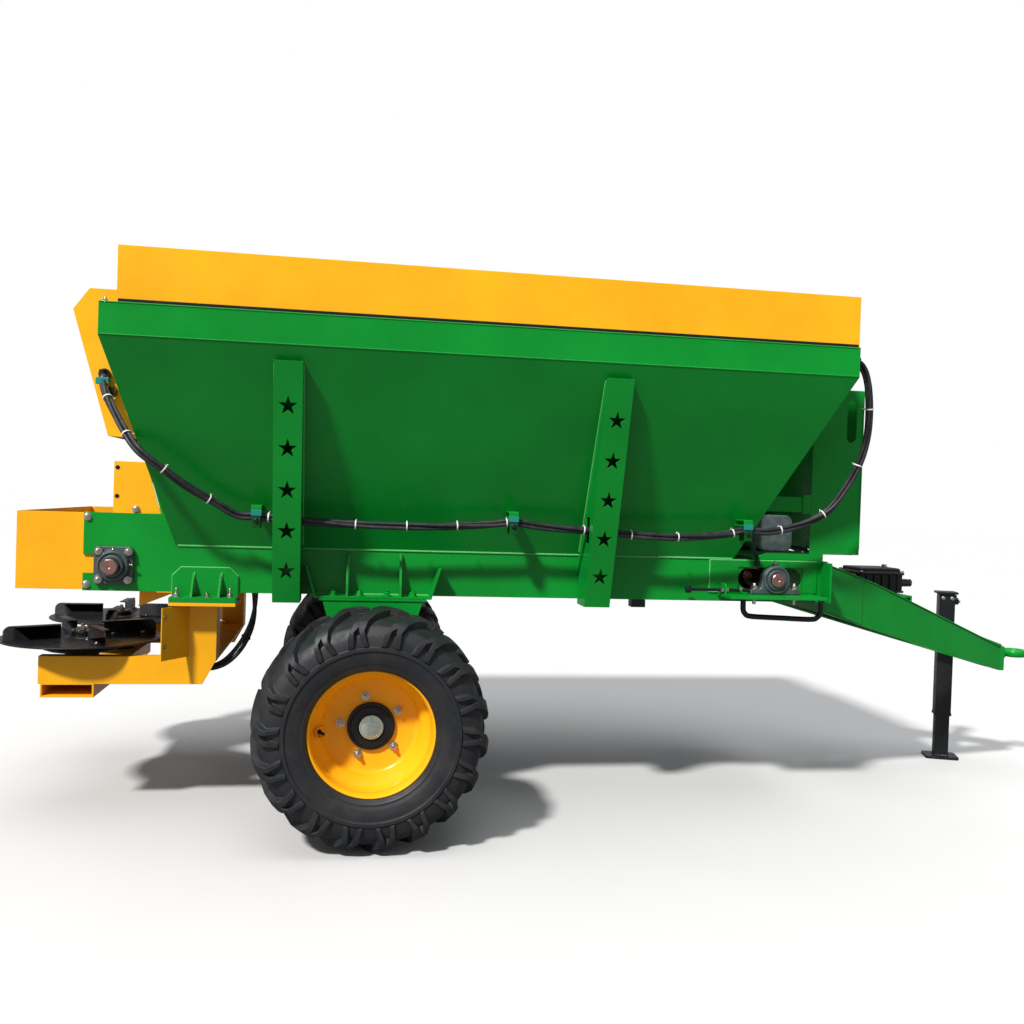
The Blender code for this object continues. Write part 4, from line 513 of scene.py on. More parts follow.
def tyre_rubber(name, colour):
    """Moulded rubber: fine grain, faint turned lines on the wall, brown dust in patches."""
    n = Nodes(name)
    split = n.node("ShaderNodeSeparateXYZ")
    n.link(n.place, split.inputs["Vector"])
    across = n.math("SUBTRACT", split.outputs["X"], float(AXLE_X))
    rise = n.math("SUBTRACT", split.outputs["Z"], float(WHEEL[2]))
    radius = n.math("SQRT", n.math("ADD", n.math("MULTIPLY", across, across), n.math("MULTIPLY", rise, rise)))
    lines = n.math("SINE", n.math("MULTIPLY", radius, 1400.0))
    smudge = n.scaled(n.noise(9.0, 5.0, 0.6), 0.0, 1.0, 0.45, 0.72)
    base = n.mix(smudge, colour, SMUDGE)
    rubbed = n.scaled(n.noise(46.0, 4.0, 0.6), 0.0, 0.55, 0.5, 0.75)
    base = n.mix(rubbed, base, shade(colour, 1.7))
    roughness = n.scaled(n.noise(30.0, 4.0), 0.42, 0.66)
    turned = n.bump(lines, 0.0004, 0.18, n.edges(0.003))
    grain = n.bump(n.noise(700.0, 3.0), 0.0006, 0.5, turned)
    return n.finish(base, roughness, grain, specular=0.38)


def plated(name, colour, rough=0.3, grain=(1.0, 1.0, 1.0), metallic=1.0, scale=140.0):
    """Bare or plated metal: blotchy colour, and machining lines where the grain is stretched."""
    n = Nodes(name)
    base = n.mix(n.scaled(n.noise(60.0, 4.0, 0.5), 0.0, 1.0), shade(colour, 0.82), shade(colour, 1.12))
    tarnish = n.scaled(n.noise(22.0, 5.0), 0.0, 0.3, 0.55, 0.75)
    base = n.mix(tarnish, base, shade(colour, 0.45))
    roughness = n.scaled(n.noise(85.0, 3.0), rough - 0.08, rough + 0.14)
    return n.finish(base, roughness, n.bump(n.noise(scale, 3.0, 0.5, grain), 0.0004, 0.35, n.edges(0.0006)),
                    metallic=metallic)


def cast_paint(name, colour):
    """Enamel over a sand casting: a pebbled skin that the paint half fills."""
    n = Nodes(name)
    base = n.mix(n.scaled(n.noise(34.0, 5.0), 0.0, 1.0), shade(colour, 0.75), shade(colour, 1.5))
    roughness = n.scaled(n.noise(50.0, 3.0), 0.36, 0.56)
    skin = n.bump(n.noise(230.0, 5.0, 0.65), 0.0011, 0.55, n.edges(0.0022))
    return n.finish(base, roughness, skin)


def hose_rubber(name, colour):
    """Hose cover: matt black with the wrapped print of its curing cloth."""
    n = Nodes(name)
    base = n.mix(n.scaled(n.noise(30.0, 4.0), 0.0, 1.0), colour, shade(colour, 3.2))
    roughness = n.scaled(n.noise(40.0, 3.0), 0.38, 0.6)
    return n.finish(base, roughness, n.bump(n.noise(900.0, 2.0), 0.0005, 0.5), specular=0.35)


def nylon(name, colour):
    """Moulded nylon, a little yellowed in places."""
    n = Nodes(name)
    base = n.mix(n.scaled(n.noise(50.0, 3.0), 0.0, 0.6), colour, shade(colour, 0.82))
    roughness = n.scaled(n.noise(80.0, 2.0), 0.3, 0.45)
    return n.finish(base, roughness, n.bump(n.noise(600.0, 2.0), 0.0002, 0.3))


FINISH = {}


def mix_finishes(colours):
    """Every material, once, from the machine's colours."""
    FINISH.update({
        "green": gloss_paint("green_gloss", colours.green, 0.27, (0.03, 0.3, 0.06)),
        "amber": gloss_paint("amber_gloss", colours.amber, 0.3, (0.42, 0.3, 0.14)),
        "black": satin_black("black_satin", colours.black),
        "tyre": tyre_rubber("tyre_rubber", colours.tyre),
        "hose": hose_rubber("hose_rubber", colours.hose),
        "shaft": plated("turned_shaft", colours.shaft, 0.26, (1.0, 0.02, 1.0)),
        "zinc": plated("zinc_plate", colours.zinc, 0.28),
        "casting": cast_paint("casting_enamel", colours.casting),
        "clip": gloss_paint("clip_paint", colours.clip, 0.35),
        "tie": nylon("tie_nylon", colours.tie),
        # The welds' paint is a paler green than the frame's, with near-white streaks and specks: together
        # they paint the whitish highlight that the glossy beads catch.
        "weld": gloss_paint("weld_paint_with_painted_highlight", (0.09, 0.42, 0.12), 0.2, (0.55, 0.6, 0.5)),
        "strap": gloss_paint("strap_paint", shade(colours.green, 0.32), 0.3),
        "spline": plated("greased_spline", (0.1, 0.1, 0.11), 0.3),
        "tank": cast_paint("tank_enamel", colours.tank),
        "chrome": plated("chromed_steel", (0.62, 0.66, 0.58), 0.16, (1.0, 1.0, 0.02)),
    })


def piece(name, shapes, finish, body="chassis", replaces=(), crease=35.0):
    """A finished piece in one of the machine's finishes."""
    build(name, shapes, FINISH[finish], body, replaces, crease)


def pair(name, shapes, finish):
    """A piece of the chassis that stands on both sides of the machine."""
    piece(name, [both(shape) for shape in shapes], finish)


# ---------------------------------------------------------------- operators
class SPREADER_OT_paint(bpy.types.Operator):
    """Mix the finishes and paint the frame's own pieces."""

    bl_idname = "spreader.paint"
    bl_label = "Paint the frame"

    def execute(self, context):
        mix_finishes(context.scene.spreader_colours)
        for part in frame["record"]["subparts"]:
            slot = part["material_slot"]
            materials = frame["nodes"][part["node"]].data.materials
            materials.clear()
            materials.append(FINISH["shaft" if slot == "bare_steel" else slot])
        return {"FINISHED"}


def tyre_surface(y_share):
    """Radius and half width share of the tyre's outer skin, from the bead (0) to the crown (1)."""
    stations = np.array((0.0, 0.1, 0.22, 0.34, 0.44, 0.5, 0.545, 0.62, 0.72, 0.82, 0.92, 1.0))
    radius = np.array((0.2085, 0.219, 0.236, 0.256, 0.276, 0.29, 0.302, 0.327, 0.353, 0.3675, 0.3725, 0.374))
    width = np.array((0.865, 0.915, 0.958, 0.984, 0.992, 0.99, 0.984, 0.955, 0.865, 0.66, 0.34, 0.0))
    return np.interp(y_share, stations, radius), np.interp(y_share, stations, width) * TYRE_HALF


def tyre_shape(side, lug_height, lug_count):
    """Carcass turned from its section, and lugs that run from the wall over the shoulder to the crown.

    A lug is a table P(s, k): s follows the section from wall to crown while its angle drifts, and k
    goes round the lug's own section, which has a slot down its middle on the wall."""
    centre = np.array((AXLE_X, side * abs(WHEEL[1]), WHEEL[2]))
    share = np.concatenate([np.linspace(0.0, 0.4, 12), [0.435, 0.445, 0.495, 0.505],
                            np.linspace(0.54, 1.0, 16)])
    radius, width = tyre_surface(share)
    ledge = 0.0046 * ((share > 0.44) & (share < 0.5)) + 0.0026 * ((share > 0.05) & (share < 0.13))
    width = width + ledge
    outer = np.column_stack([np.concatenate([radius, radius[-2::-1]]),
                             np.concatenate([width, -width[-2::-1]])])
    bead_in = np.array([(0.2085, -0.153), (0.202, -0.15), (0.202, -0.12), (0.215, -0.118), (0.24, -0.16),
                        (0.3, -0.165), (0.345, -0.13), (0.352, 0.0), (0.345, 0.13), (0.3, 0.165),
                        (0.24, 0.16), (0.215, 0.118), (0.202, 0.12), (0.202, 0.15), (0.2085, 0.153)])
    carcass = lathe(np.vstack([outer, bead_in]), centre, (0, 1, 0), 144, ring=True)

    s = np.linspace(0.0, 1.0, 22)[:, None]
    path_share = 0.51 + 0.475 * s
    base_r, base_y = tyre_surface(path_share[:, 0])
    step_r, step_y = np.gradient(base_r), np.gradient(base_y)
    length = np.hypot(step_r, step_y)
    normal_r, normal_y = -step_y / length, step_r / length
    rise = lug_height * np.interp(s[:, 0], (0, 0.04, 0.16, 0.34, 1.0), (0.35, 0.6, 0.75, 1.0, 1.0))
    half = np.interp(s[:, 0], (0, 0.16, 0.45, 1.0), (0.029, 0.0265, 0.0205, 0.018))
    slot = np.interp(s[:, 0], (0, 0.1, 0.31, 0.36, 1.0), (0.016, 0.0125, 0.0065, 0.0002, 0.0002))
    depth = np.interp(s[:, 0], (0, 0.3, 0.36, 1.0), (1.0, 1.0, 0.0, 0.0))
    drift = radians(15.0) * np.clip((s[:, 0] - 0.28) / 0.72, 0.0, 1.0) ** 1.15
    flank = 0.005
    across = np.stack([-half - flank, -half, -slot - 0.0012, -slot, slot, slot + 0.0012, half, half + flank],
                      1)
    floor = rise * (1 - depth) - 0.002 * depth
    root = np.full_like(rise, -0.006)
    level = np.stack([root, rise, rise, floor, floor, rise, rise, root], 1)
    r = base_r[:, None] + normal_r[:, None] * level
    y = base_y[:, None] + np.maximum(normal_y, 0.0)[:, None] * np.maximum(level, 0.0)
    r = np.minimum(r, TYRE_RADIUS - 0.0008)
    y = np.minimum(y, TYRE_HALF + 0.006)
    lugs = []
    for hand in (1.0, -1.0):
        start = 2 * pi * (np.arange(lug_count) + (0.0 if hand > 0 else 0.5)) / lug_count
        angle = start[:, None, None] + drift[None, :, None] + across[None] / base_r[None, :, None]
        points = np.stack([r * np.sin(angle), np.broadcast_to(hand * y, angle.shape), r * np.cos(angle)], -1)
        for table in points:
            lugs.append(grid(table + centre, close_v=True))
    return [carcass] + lugs


class SPREADER_OT_wheels(bpy.types.Operator):
    """Tyres with their lugs, deep rims, bolts, hubs and valves."""

    bl_idname = "spreader.wheels"
    bl_label = "Wheels"

    def execute(self, context):
        sizes = context.scene.spreader_sizes
        for name, side in SIDES:
            self.wheel(name, side, sizes)
        return {"FINISHED"}

    def wheel(self, name, side, sizes):
        """One wheel: tyre, rim, hub, cap, nuts, valve and its guard."""
        body = "wheel_" + name
        centre = np.array((AXLE_X, side * abs(WHEEL[1]), WHEEL[2]))
        out = np.array((0.0, side, 0.0))
        piece("tyre_tread_" + name, tyre_shape(side, sizes.lug_height, sizes.lug_count), "tyre", body,
              ("tyre_" + name,), 38.0)
        piece("wheel_rim_" + name, [self.rim(centre, out)], "amber", body, ("rim_" + name,), 30.0)
        hub = [(0.08, 0.026), (0.08, 0.04), (0.0785, 0.0425), (0.0745, 0.0435), (0.0705, 0.0425),
               (0.066, 0.0475), (0.052, 0.0505), (0.046, 0.051), (0.045, 0.047), (0.02, 0.047)]
        back = [(0.124, 0.0215), (0.125, 0.0205), (0.125, 0.012), (0.122, 0.01), (0.072, 0.009),
                (0.066, -0.02), (0.057, -0.1), (0.055, -0.105), (0.0258, -0.105), (0.0258, 0.0215)]
        piece("wheel_hub_" + name, [lathe(hub, centre, out, 64), lathe(back, centre, out, 64, ring=True)],
              "black", body, ("hub_" + name,), 30.0)
        cap = [(0.04, 0.0465), (0.041, 0.0475), (0.041, 0.056), (0.0398, 0.058), (0.0375, 0.0592),
               (0.035, 0.0594), (0.033, 0.0588), (0.0325, 0.059), (0.03, 0.0605), (0.01, 0.0615)]
        piece("wheel_cap_" + name, [lathe(cap, centre, out, 64)], "chrome", body, (), 30.0)
        angle = np.radians(30.0 + 72.0 * np.arange(5))
        ring = centre + HUB_CIRCLE * np.column_stack([np.cos(angle), 0 * angle, np.sin(angle)]) + 0.0302 * out
        studs = fixed(nut(0.0132, 1.0), ring, out)
        valve_at = centre + (-0.1705, 0.0, -0.012) + 0.063 * out
        stem = lathe([(0.0085, -0.004), (0.0085, 0.003), (0.0048, 0.006), (0.0048, 0.026), (0.0055, 0.027),
                      (0.0055, 0.038), (0.0042, 0.04)], valve_at, out + np.array((0.45, 0.0, 0.0)), 20)
        piece("wheel_nuts_" + name, [studs], "zinc", body)
        piece("valve_" + name, [stem], "black", body)
        piece("valve_guard_" + name, [self.guard(valve_at + (0.006, 0, 0), out)], "amber", body, (), 40.0)

    def guard(self, centre, out):
        """Crescent round the valve: a flat bar bent over half a turn, highest in its middle."""
        share = np.linspace(0.0, 1.0, 21)
        angle = np.radians(60.0 + 240.0 * share)
        reach = np.stack([np.cos(angle), 0 * angle, np.sin(angle)], 1)
        height = 0.006 + 0.018 * np.sin(pi * share)
        low = centre + 0.016 * reach - 0.006 * out
        table = np.stack([low, centre + 0.016 * reach + height[:, None] * out,
                          centre + 0.0195 * reach + (height[:, None] - 0.0005) * out,
                          centre + 0.0225 * reach - 0.006 * out], 1)
        return grid(table, close_v=True)

    def rim(self, centre, out):
        """Dished wheel: flange, bead seats, dropped well with its drawn radii, and the flat disc."""
        half = 0.165
        face = [(0.205, half), (0.207, half - 0.0004), (0.2083, half - 0.002), (0.2083, half - 0.0042),
                (0.2068, half - 0.0054), (0.203, half - 0.0062), (0.201, half - 0.01), (0.2005, 0.092),
                (0.1975, 0.083), (0.173, 0.06), (0.169, 0.052), (0.169, -0.07), (0.173, -0.08),
                (0.1975, -0.094), (0.2005, -0.1), (0.2005, -0.152), (0.203, -0.1588), (0.2083, -0.1608),
                (0.2083, -0.163), (0.207, -0.1646), (0.205, -0.165), (0.2015, -0.1635), (0.1985, -0.158),
                (0.1968, -0.15), (0.1962, -0.1), (0.169, -0.086), (0.164, -0.072), (0.164, 0.0212),
                (0.16, 0.022), (0.08, 0.022), (0.08, 0.0298), (0.13, 0.0298), (0.1345, 0.031),
                (0.142, 0.0312), (0.15, 0.033), (0.1575, 0.0375), (0.1615, 0.044), (0.164, 0.052),
                (0.1655, 0.058), (0.17, 0.064), (0.18, 0.073), (0.1815, 0.075), (0.188, 0.081),
                (0.1935, 0.088), (0.196, 0.096), (0.1963, 0.116), (0.1976, 0.1186), (0.1963, 0.1212),
                (0.1968, 0.15), (0.1992, 0.1595), (0.2022, 0.1638)]
        return lathe(face, centre, out, 128, ring=True)


class SPREADER_OT_discs(bpy.types.Operator):
    """Spinning discs with their folded blades, bolts and hubs, and the motors under them."""

    bl_idname = "spreader.discs"
    bl_label = "Spinning discs"

    def execute(self, context):
        for name, side in SIDES:
            low, high = corners("disc_" + name)
            centre = np.array(((low[0] + high[0]) / 2, (low[1] + high[1]) / 2, low[2] + 0.0067))
            self.disc(name, side, centre, (high[0] - low[0]) / 2)
            self.motor(name, centre)
        return {"FINISHED"}

    def disc(self, name, side, centre, radius):
        """Plate with a rolled lip; each blade is an angle section with its outer corner rounded."""
        disc = [(radius - 0.0016, 0.0002), (radius, 0.0016), (radius, 0.0046), (radius - 0.0016, 0.006),
                (0.062, 0.006), (0.058, 0.009), (0.046, 0.012), (0.044, 0.026), (0.041, 0.029), (0.012, 0.03)]
        under = [(0.045, -0.0066), (0.045, 0.0002)]
        shapes = [lathe(under + disc, centre, UP, 96)]
        bolts = []
        length = radius - 0.013 - 0.075
        corner = 0.026
        top = 0.052
        wall = [(0.0, 0.0), (length, 0.0), (length, top - corner)]
        wall = np.vstack([wall, arc((length - corner, top - corner), corner, 0, 90, 7), [(0.0, top)]])
        upright = plate(wall, "Y", -0.002, 0.002, 0.0006)
        upright = (upright[0] + (0.075, 0.0, 0.0058), upright[1])
        flange = plate([(0.075, 0.0), (0.075 + length - corner - 0.01, 0.0),
                        (0.075 + length - corner - 0.02, 0.026), (0.082, 0.026)], "Z", 0.0056 + top - 0.004,
                        0.0056 + top - 0.0002, 0.0006)
        foot = plate([(0.085, -0.024), (0.085 + length * 0.75, -0.024), (0.085 + length * 0.75, -0.001),
                      (0.085, -0.001)], "Z", 0.0062, 0.0098, 0.0006)
        start = radians(30.0) if side < 0 else 0.0
        for k in range(4):
            turn = spin(start + k * pi / 2)
            for part in (upright, flange, foot):
                shapes.append((part[0] @ turn.T + centre, part[1]))
            spots = np.array(((0.105, -0.013, 0.0098), (0.215, -0.013, 0.0098))) @ turn.T + centre
            bolts.append(fixed(bolt(0.008), spots, UP))
        piece("disc_blades_" + name, shapes, "black", "disc_" + name, ("disc_" + name,), 30.0)
        bolts.append(fixed(bolt(0.007), centre + circle(0.031, 20.0 + 60.0 * np.arange(6), 0.0294), UP))
        bolts.append(fixed(nut(0.014, 0.7), [centre + (0, 0, 0.0298)], UP))
        piece("disc_bolts_" + name, bolts, "zinc", "disc_" + name)

    def motor(self, name, centre):
        """Bearing housing and hydraulic motor: one turned body with cooling steps, and four bolts."""
        low = corners("spinner_motor_" + name)[0][2] - centre[2]
        body = [(0.056, low), (0.059, low + 0.002), (0.059, -0.058), (0.061, -0.052), (0.12, -0.04),
                (0.135, -0.034), (0.135, -0.027), (0.128, -0.024), (0.078, -0.0085), (0.02, -0.0075)]
        piece("spinner_housing_" + name, [lathe(body, centre, UP, 64)], "black", "chassis",
              ("spinner_motor_" + name,), 30.0)
        ring = centre + circle(0.103, 45.0 + 90.0 * np.arange(4), -0.0165)
        piece("housing_bolts_" + name, [fixed(bolt(0.009), ring, UP)], "zinc")


HOSE_KNOTS = (
    (-0.952, -0.5175, 1.545), (-0.94, -0.56, 1.505), (-0.9, -0.62, 1.435), (-0.845, -0.69, 1.36),
    (-0.785, -0.738, 1.29), (-0.71, -0.73, 1.235), (-0.64, -0.7, 1.18), (-0.56, -0.66, 1.13),
    (-0.48, -0.638, 1.084), (-0.41, -0.632, 1.08), (-0.304, -0.63, 1.075), (-0.22, -0.63, 1.068),
    (-0.03, -0.63, 1.06), (0.21, -0.63, 1.064), (0.4, -0.63, 1.074), (0.49, -0.632, 1.084),
    (0.59, -0.63, 1.074), (0.73, -0.63, 1.066), (0.818, -0.63, 1.06), (0.91, -0.63, 1.052),
    (1.09, -0.63, 1.048), (1.29, -0.63, 1.062), (1.38, -0.632, 1.08), (1.46, -0.632, 1.076),
    (1.56, -0.63, 1.096), (1.65, -0.634, 1.13), (1.72, -0.645, 1.18), (1.78, -0.662, 1.28),
    (1.815, -0.68, 1.38), (1.825, -0.7, 1.5), (1.808, -0.72, 1.64), (1.768, -0.735, 1.71),
    (1.7165, -0.74, 1.725),
)
HOSE_CLIPS = (9, 15, 22)        # knots of the route where a clip holds the hoses
CLIP_HALF = 0.018
SPINNER_KNOTS = (
    (-0.431, -0.4917, 0.848), (-0.431, -0.47, 0.848), (-0.43, -0.448, 0.838), (-0.428, -0.434, 0.812),
    (-0.426, -0.43, 0.77), (-0.428, -0.43, 0.72), (-0.44, -0.43, 0.665), (-0.465, -0.43, 0.61),
    (-0.495, -0.43, 0.568), (-0.528, -0.43, 0.538), (-0.566, -0.43, 0.521), (-0.606, -0.43, 0.517),
    (-0.6457, -0.43, 0.517),
)


class SPREADER_OT_hoses(bpy.types.Operator):
    """The hose bundle along the right-hand side, with its ties, clamps and end fittings."""

    bl_idname = "spreader.hoses"
    bl_label = "Hoses"

    def execute(self, context):
        radius = context.scene.spreader_sizes.hose
        line = route(np.array(HOSE_KNOTS) + (AXLE_X, 0, 0), 0.012)
        strands = [tube(line, radius, 14, (0.0084, k * 2 * pi / 3), 2.5) for k in range(3)]
        piece("hose_strands", strands, "hose", "chassis", ("hose_bundle",), 60.0)
        tangent, side, up = directions(line)
        share = (0.03, 0.085, 0.135, 0.185, 0.245, 0.325, 0.375, 0.425, 0.475, 0.555, 0.605, 0.655, 0.715,
                 0.765, 0.815, 0.88, 0.94)
        ties = []
        for k in (np.array(share) * (len(line) - 1)).astype(int):
            ties.append(lathe([(0.015, -0.0023), (0.0162, -0.0023), (0.0166, -0.0014), (0.0166, 0.0014),
                               (0.0162, 0.0023), (0.015, 0.0023)], line[k], tangent[k], 24, ring=True))
            head = line[k] + 0.018 * (0.8 * up[k] - 0.6 * side[k])
            ties.append(box(head - 0.003, head + 0.003, 0.0006))
            tail = head + np.linspace(0.0, 0.009, 4)[:, None] * (0.3 * tangent[k] + 0.2 * up[k] - side[k])
            ties.append(tube(tail, 0.0014, 6, flat=0.5))
        piece("cable_ties", ties, "tie")
        self.clips()
        self.fittings(line)
        self.loop(radius)
        return {"FINISHED"}

    def clips(self):
        """Each clip: a folded tab on the hopper, a clamp plate before the hoses, a strap and a bolt."""
        tabs, clamps, straps, bolts = [], [], [], []
        for k in HOSE_CLIPS:
            x, y, z = np.array(HOSE_KNOTS[k]) + (AXLE_X, 0.0, 0.0)
            wall = wall_y(z + 0.02) + 0.002
            fold = [(wall, z + 0.036), (wall, z + 0.041), (y - 0.022, z + 0.041), (y - 0.027, z + 0.037),
                    (y - 0.027, z + 0.006), (y - 0.023, z + 0.006), (y - 0.023, z + 0.0345),
                    (y - 0.0205, z + 0.036)]
            tabs.append(plate(fold, "X", x - CLIP_HALF, x + CLIP_HALF, 0.0008))
            clamps.append(box((x - CLIP_HALF, y - 0.0315, z + 0.003), (x + CLIP_HALF, y - 0.0272, z + 0.024),
                              0.0012))
            back = [(y + 0.019, z - 0.036), (y + 0.019, z + 0.002), (y + 0.0215, z + 0.002),
                    (y + 0.0215, z - 0.039), (y - 0.0295, z - 0.039), (y - 0.0295, z + 0.0025),
                    (y - 0.0255, z + 0.0025), (y - 0.0255, z - 0.036)]
            straps.append(plate(back, "X", x - 0.015, x + 0.015, 0.0008))
            bolts.append(fixed(bolt(0.0085), [(x, y - 0.0296, z - 0.013)], (0, -1, 0)))
        piece("hose_tabs", tabs, "green")
        piece("hose_clamps", clamps, "clip")
        piece("hose_straps", straps, "strap")
        piece("hose_clamp_bolts", bolts, "black")

    def fittings(self, line):
        """Elbow, gland nut and clamp at the gate's cylinder, and a bulkhead nut at the front rim."""
        start, end = line[0], line[-1]
        elbow = np.array([start + (0.0, 0.017, 0.0), start + (0.0, -0.003, 0.0),
                          start + (0.001, -0.01, -0.003), start + (0.003, -0.0135, -0.01),
                          line[1] + (0.0, -0.002, 0.0)])
        black = [tube(route(elbow, 0.004), 0.017, 18),
                 lathe([(0.0185, 0.0), (0.02, 0.002), (0.02, 0.016), (0.0185, 0.018)],
                       start + (0.0, 0.0165, 0.014), (0, -1, 0), 20),
                 box(start + (0.012, -0.02, -0.06), start + (0.04, 0.0165, -0.03), 0.002),
                 lathe([(0.014, 0.0), (0.014, 0.018), (0.012, 0.02)], start + (-0.004, 0.002, 0.01), UP, 18)]
        low = start + (0.0, 0.0, -0.012)
        collar = [box(low + (-0.021, -0.03, -0.012), low + (0.021, -0.022, 0.012), 0.0015),
                  box(low + (-0.021, -0.024, 0.006), low + (0.021, 0.01, 0.012), 0.0015)]
        nut_at = end + (0.006, -0.0005, 0.002)
        front = [lathe([(0.0205, 0.0), (0.0205, 0.014), (0.018, 0.016)], nut_at, (1.0, -0.2, -0.2), 6),
                 lathe([(0.018, 0.014), (0.0185, 0.03), (0.017, 0.032)], nut_at, (1.0, -0.2, -0.3), 24)]
        piece("gate_hose_elbow", black, "black")
        piece("gate_hose_clamp", collar, "clip")
        piece("rim_hose_fitting", front, "black")

    def loop(self, radius):
        """The spinner motors' hoses: two in a strand on the short route before the column."""
        line = route(np.array(SPINNER_KNOTS) + (AXLE_X, 0, 0), 0.01)
        strands = [tube(line, radius * 1.1, 14, (0.0081, k * pi), 0.8) for k in range(2)]
        piece("spinner_hose_strands", strands, "hose", "chassis", ("spinner_hose",), 60.0)
        tangent = directions(line)[0]
        ties = [lathe([(0.016, -0.003), (0.0176, -0.003), (0.0176, 0.003), (0.016, 0.003)], line[k],
                      tangent[k], 24, ring=True) for k in (int(0.16 * len(line)), int(0.52 * len(line)))]
        piece("spinner_hose_ties", ties, "black")


class SPREADER_OT_bearings(bpy.types.Operator):
    """Flange bearings of the rear shaft and pillow blocks of the front shaft, with bolts and nipples."""

    bl_idname = "spreader.bearings"
    bl_label = "Shaft bearings"

    def execute(self, context):
        for name, side in SIDES:
            self.flange_bearing(name, side)
            self.pillow_block(name, side)
        return {"FINISHED"}

    def flange_bearing(self, name, side):
        """Square flange with rounded corners, a domed housing and the inner ring round the shaft."""
        node = "rear_bearing_" + name
        low, high = corners(node)
        centre = middle(node) * (1, 0, 1) + (0, side * abs(low if side > 0 else high)[1], 0)
        out = np.array((0.0, side, 0.0))
        h, r = (high[0] - low[0]) / 2, 0.018
        outline = rounded(h, h, r, 6, centre[[0, 2]])
        near, far = sorted((centre[1], centre[1] + side * 0.013))
        dome = [(0.06, 0.0), (0.0575, 0.016), (0.053, 0.03), (0.0505, 0.0335), (0.0465, 0.0345),
                (0.046, 0.032), (0.041, 0.031), (0.04, 0.0285), (0.039, 0.0285), (0.0385, 0.044),
                (0.0365, 0.046), (0.029, 0.046), (0.0282, 0.044), (0.0282, 0.0)]
        shapes = [plate(outline, "Y", near, far, 0.0025), lathe(dome, centre, out, 56, ring=True)]
        pads = [centre + (a * 0.05, side * 0.01, b * 0.05) for a in (-1, 1) for b in (-1, 1)]
        pad = lathe([(0.0175, 0.0), (0.017, 0.0065), (0.0155, 0.0075)], steps=20)
        shapes.append(fixed(pad, pads, out))
        piece("flange_bearing_" + name, shapes, "casting", "chassis", (node,), 32.0)
        piece("flange_bearing_bolts_" + name,
              [fixed(nut(FRAME_NUT, 0.5), [p + 0.0074 * out for p in pads], out)], "zinc")
        nipple = lathe([(0.005, 0.0), (0.005, 0.006), (0.003, 0.0075), (0.0042, 0.011), (0.003, 0.014)],
                       steps=12)
        tops = joined([fixed(nipple, [centre + (0.0, side * 0.022, 0.0545)], (0, side * 0.5, 1.0)),
                       fixed(nipple, [centre + (0.0545, side * 0.022, 0.004)], (1.0, side * 0.5, 0.0))])
        piece("flange_bearing_nipples_" + name, [tops], "zinc")
        piece("rear_shaft_centre_" + name, self.shaft_end(centre[0], centre[2], out), "shaft")

    def shaft_end(self, x, z, out):
        """Chamfered end cap of a shaft with the lathe's centre hole in its middle."""
        profile = [(0.0263, -0.004), (0.0263, 0.0012), (0.024, 0.0032), (0.0062, 0.0032), (0.003, 0.0008)]
        return [lathe(profile, (x, out[1] * SHAFT_FACE, z), out, 40)]

    def pillow_block(self, name, side):
        """Footed housing: an arch that runs down into two bolted feet, with a thick ring round the shaft."""
        node = "front_bearing_" + name
        low, high = corners(node)
        x, z = (low[0] + high[0]) / 2, CROSS_SHAFT_Z
        centre = np.array((x, (low[1] + high[1]) / 2, z))
        out = np.array((0.0, side, 0.0))
        half = (high[0] - low[0]) / 2
        base = low[2]
        foot = base + 0.019
        outline = np.vstack([[(x - half, base), (x + half, base), (x + half, foot - 0.003),
                              (x + half - 0.004, foot), (x + 0.068, foot + 0.001), (x + 0.06, foot + 0.008)],
                             arc((x, z), 0.056, 4.0, 176.0, 21),
                             [(x - 0.06, foot + 0.008), (x - 0.068, foot + 0.001), (x - half + 0.004, foot),
                              (x - half, foot - 0.003)]])
        inner, outer = sorted((centre[1] - side * 0.018, centre[1] + side * 0.016))
        ring = [(0.0545, 0.014), (0.054, 0.0205), (0.051, 0.0235), (0.045, 0.024), (0.044, 0.0215),
                (0.04, 0.0205), (0.0395, 0.0265), (0.037, 0.0285), (0.029, 0.0285), (0.0282, 0.0265),
                (0.0282, 0.014)]
        shapes = [plate(outline, "Y", inner, outer, 0.003), lathe(ring, centre, out, 56, ring=True),
                  lathe([(0.012, 0.0), (0.012, 0.01), (0.0095, 0.012)], centre + (0, 0, 0.05), UP, 20)]
        piece("pillow_block_" + name, shapes, "casting", "chassis", (node,), 32.0)
        feet = [(x - 0.082, centre[1], foot + 0.0008), (x + 0.082, centre[1], foot + 0.0008)]
        under = [(p[0], p[1], base - 0.0085) for p in feet]
        piece("pillow_block_bolts_" + name, [fixed(nut(0.0145, 0.6), feet, UP),
                                             fixed(nut(0.0145, 1.1), under, (0, 0, -1))], "zinc")
        nipple = lathe([(0.005, 0.0), (0.005, 0.007), (0.003, 0.0085), (0.0042, 0.012)], steps=12)
        piece("pillow_block_nipple_" + name, [fixed(nipple, [centre + (0, 0, 0.0618)], UP)], "zinc")
        piece("front_shaft_centre_" + name, self.shaft_end(x, z, out), "shaft")


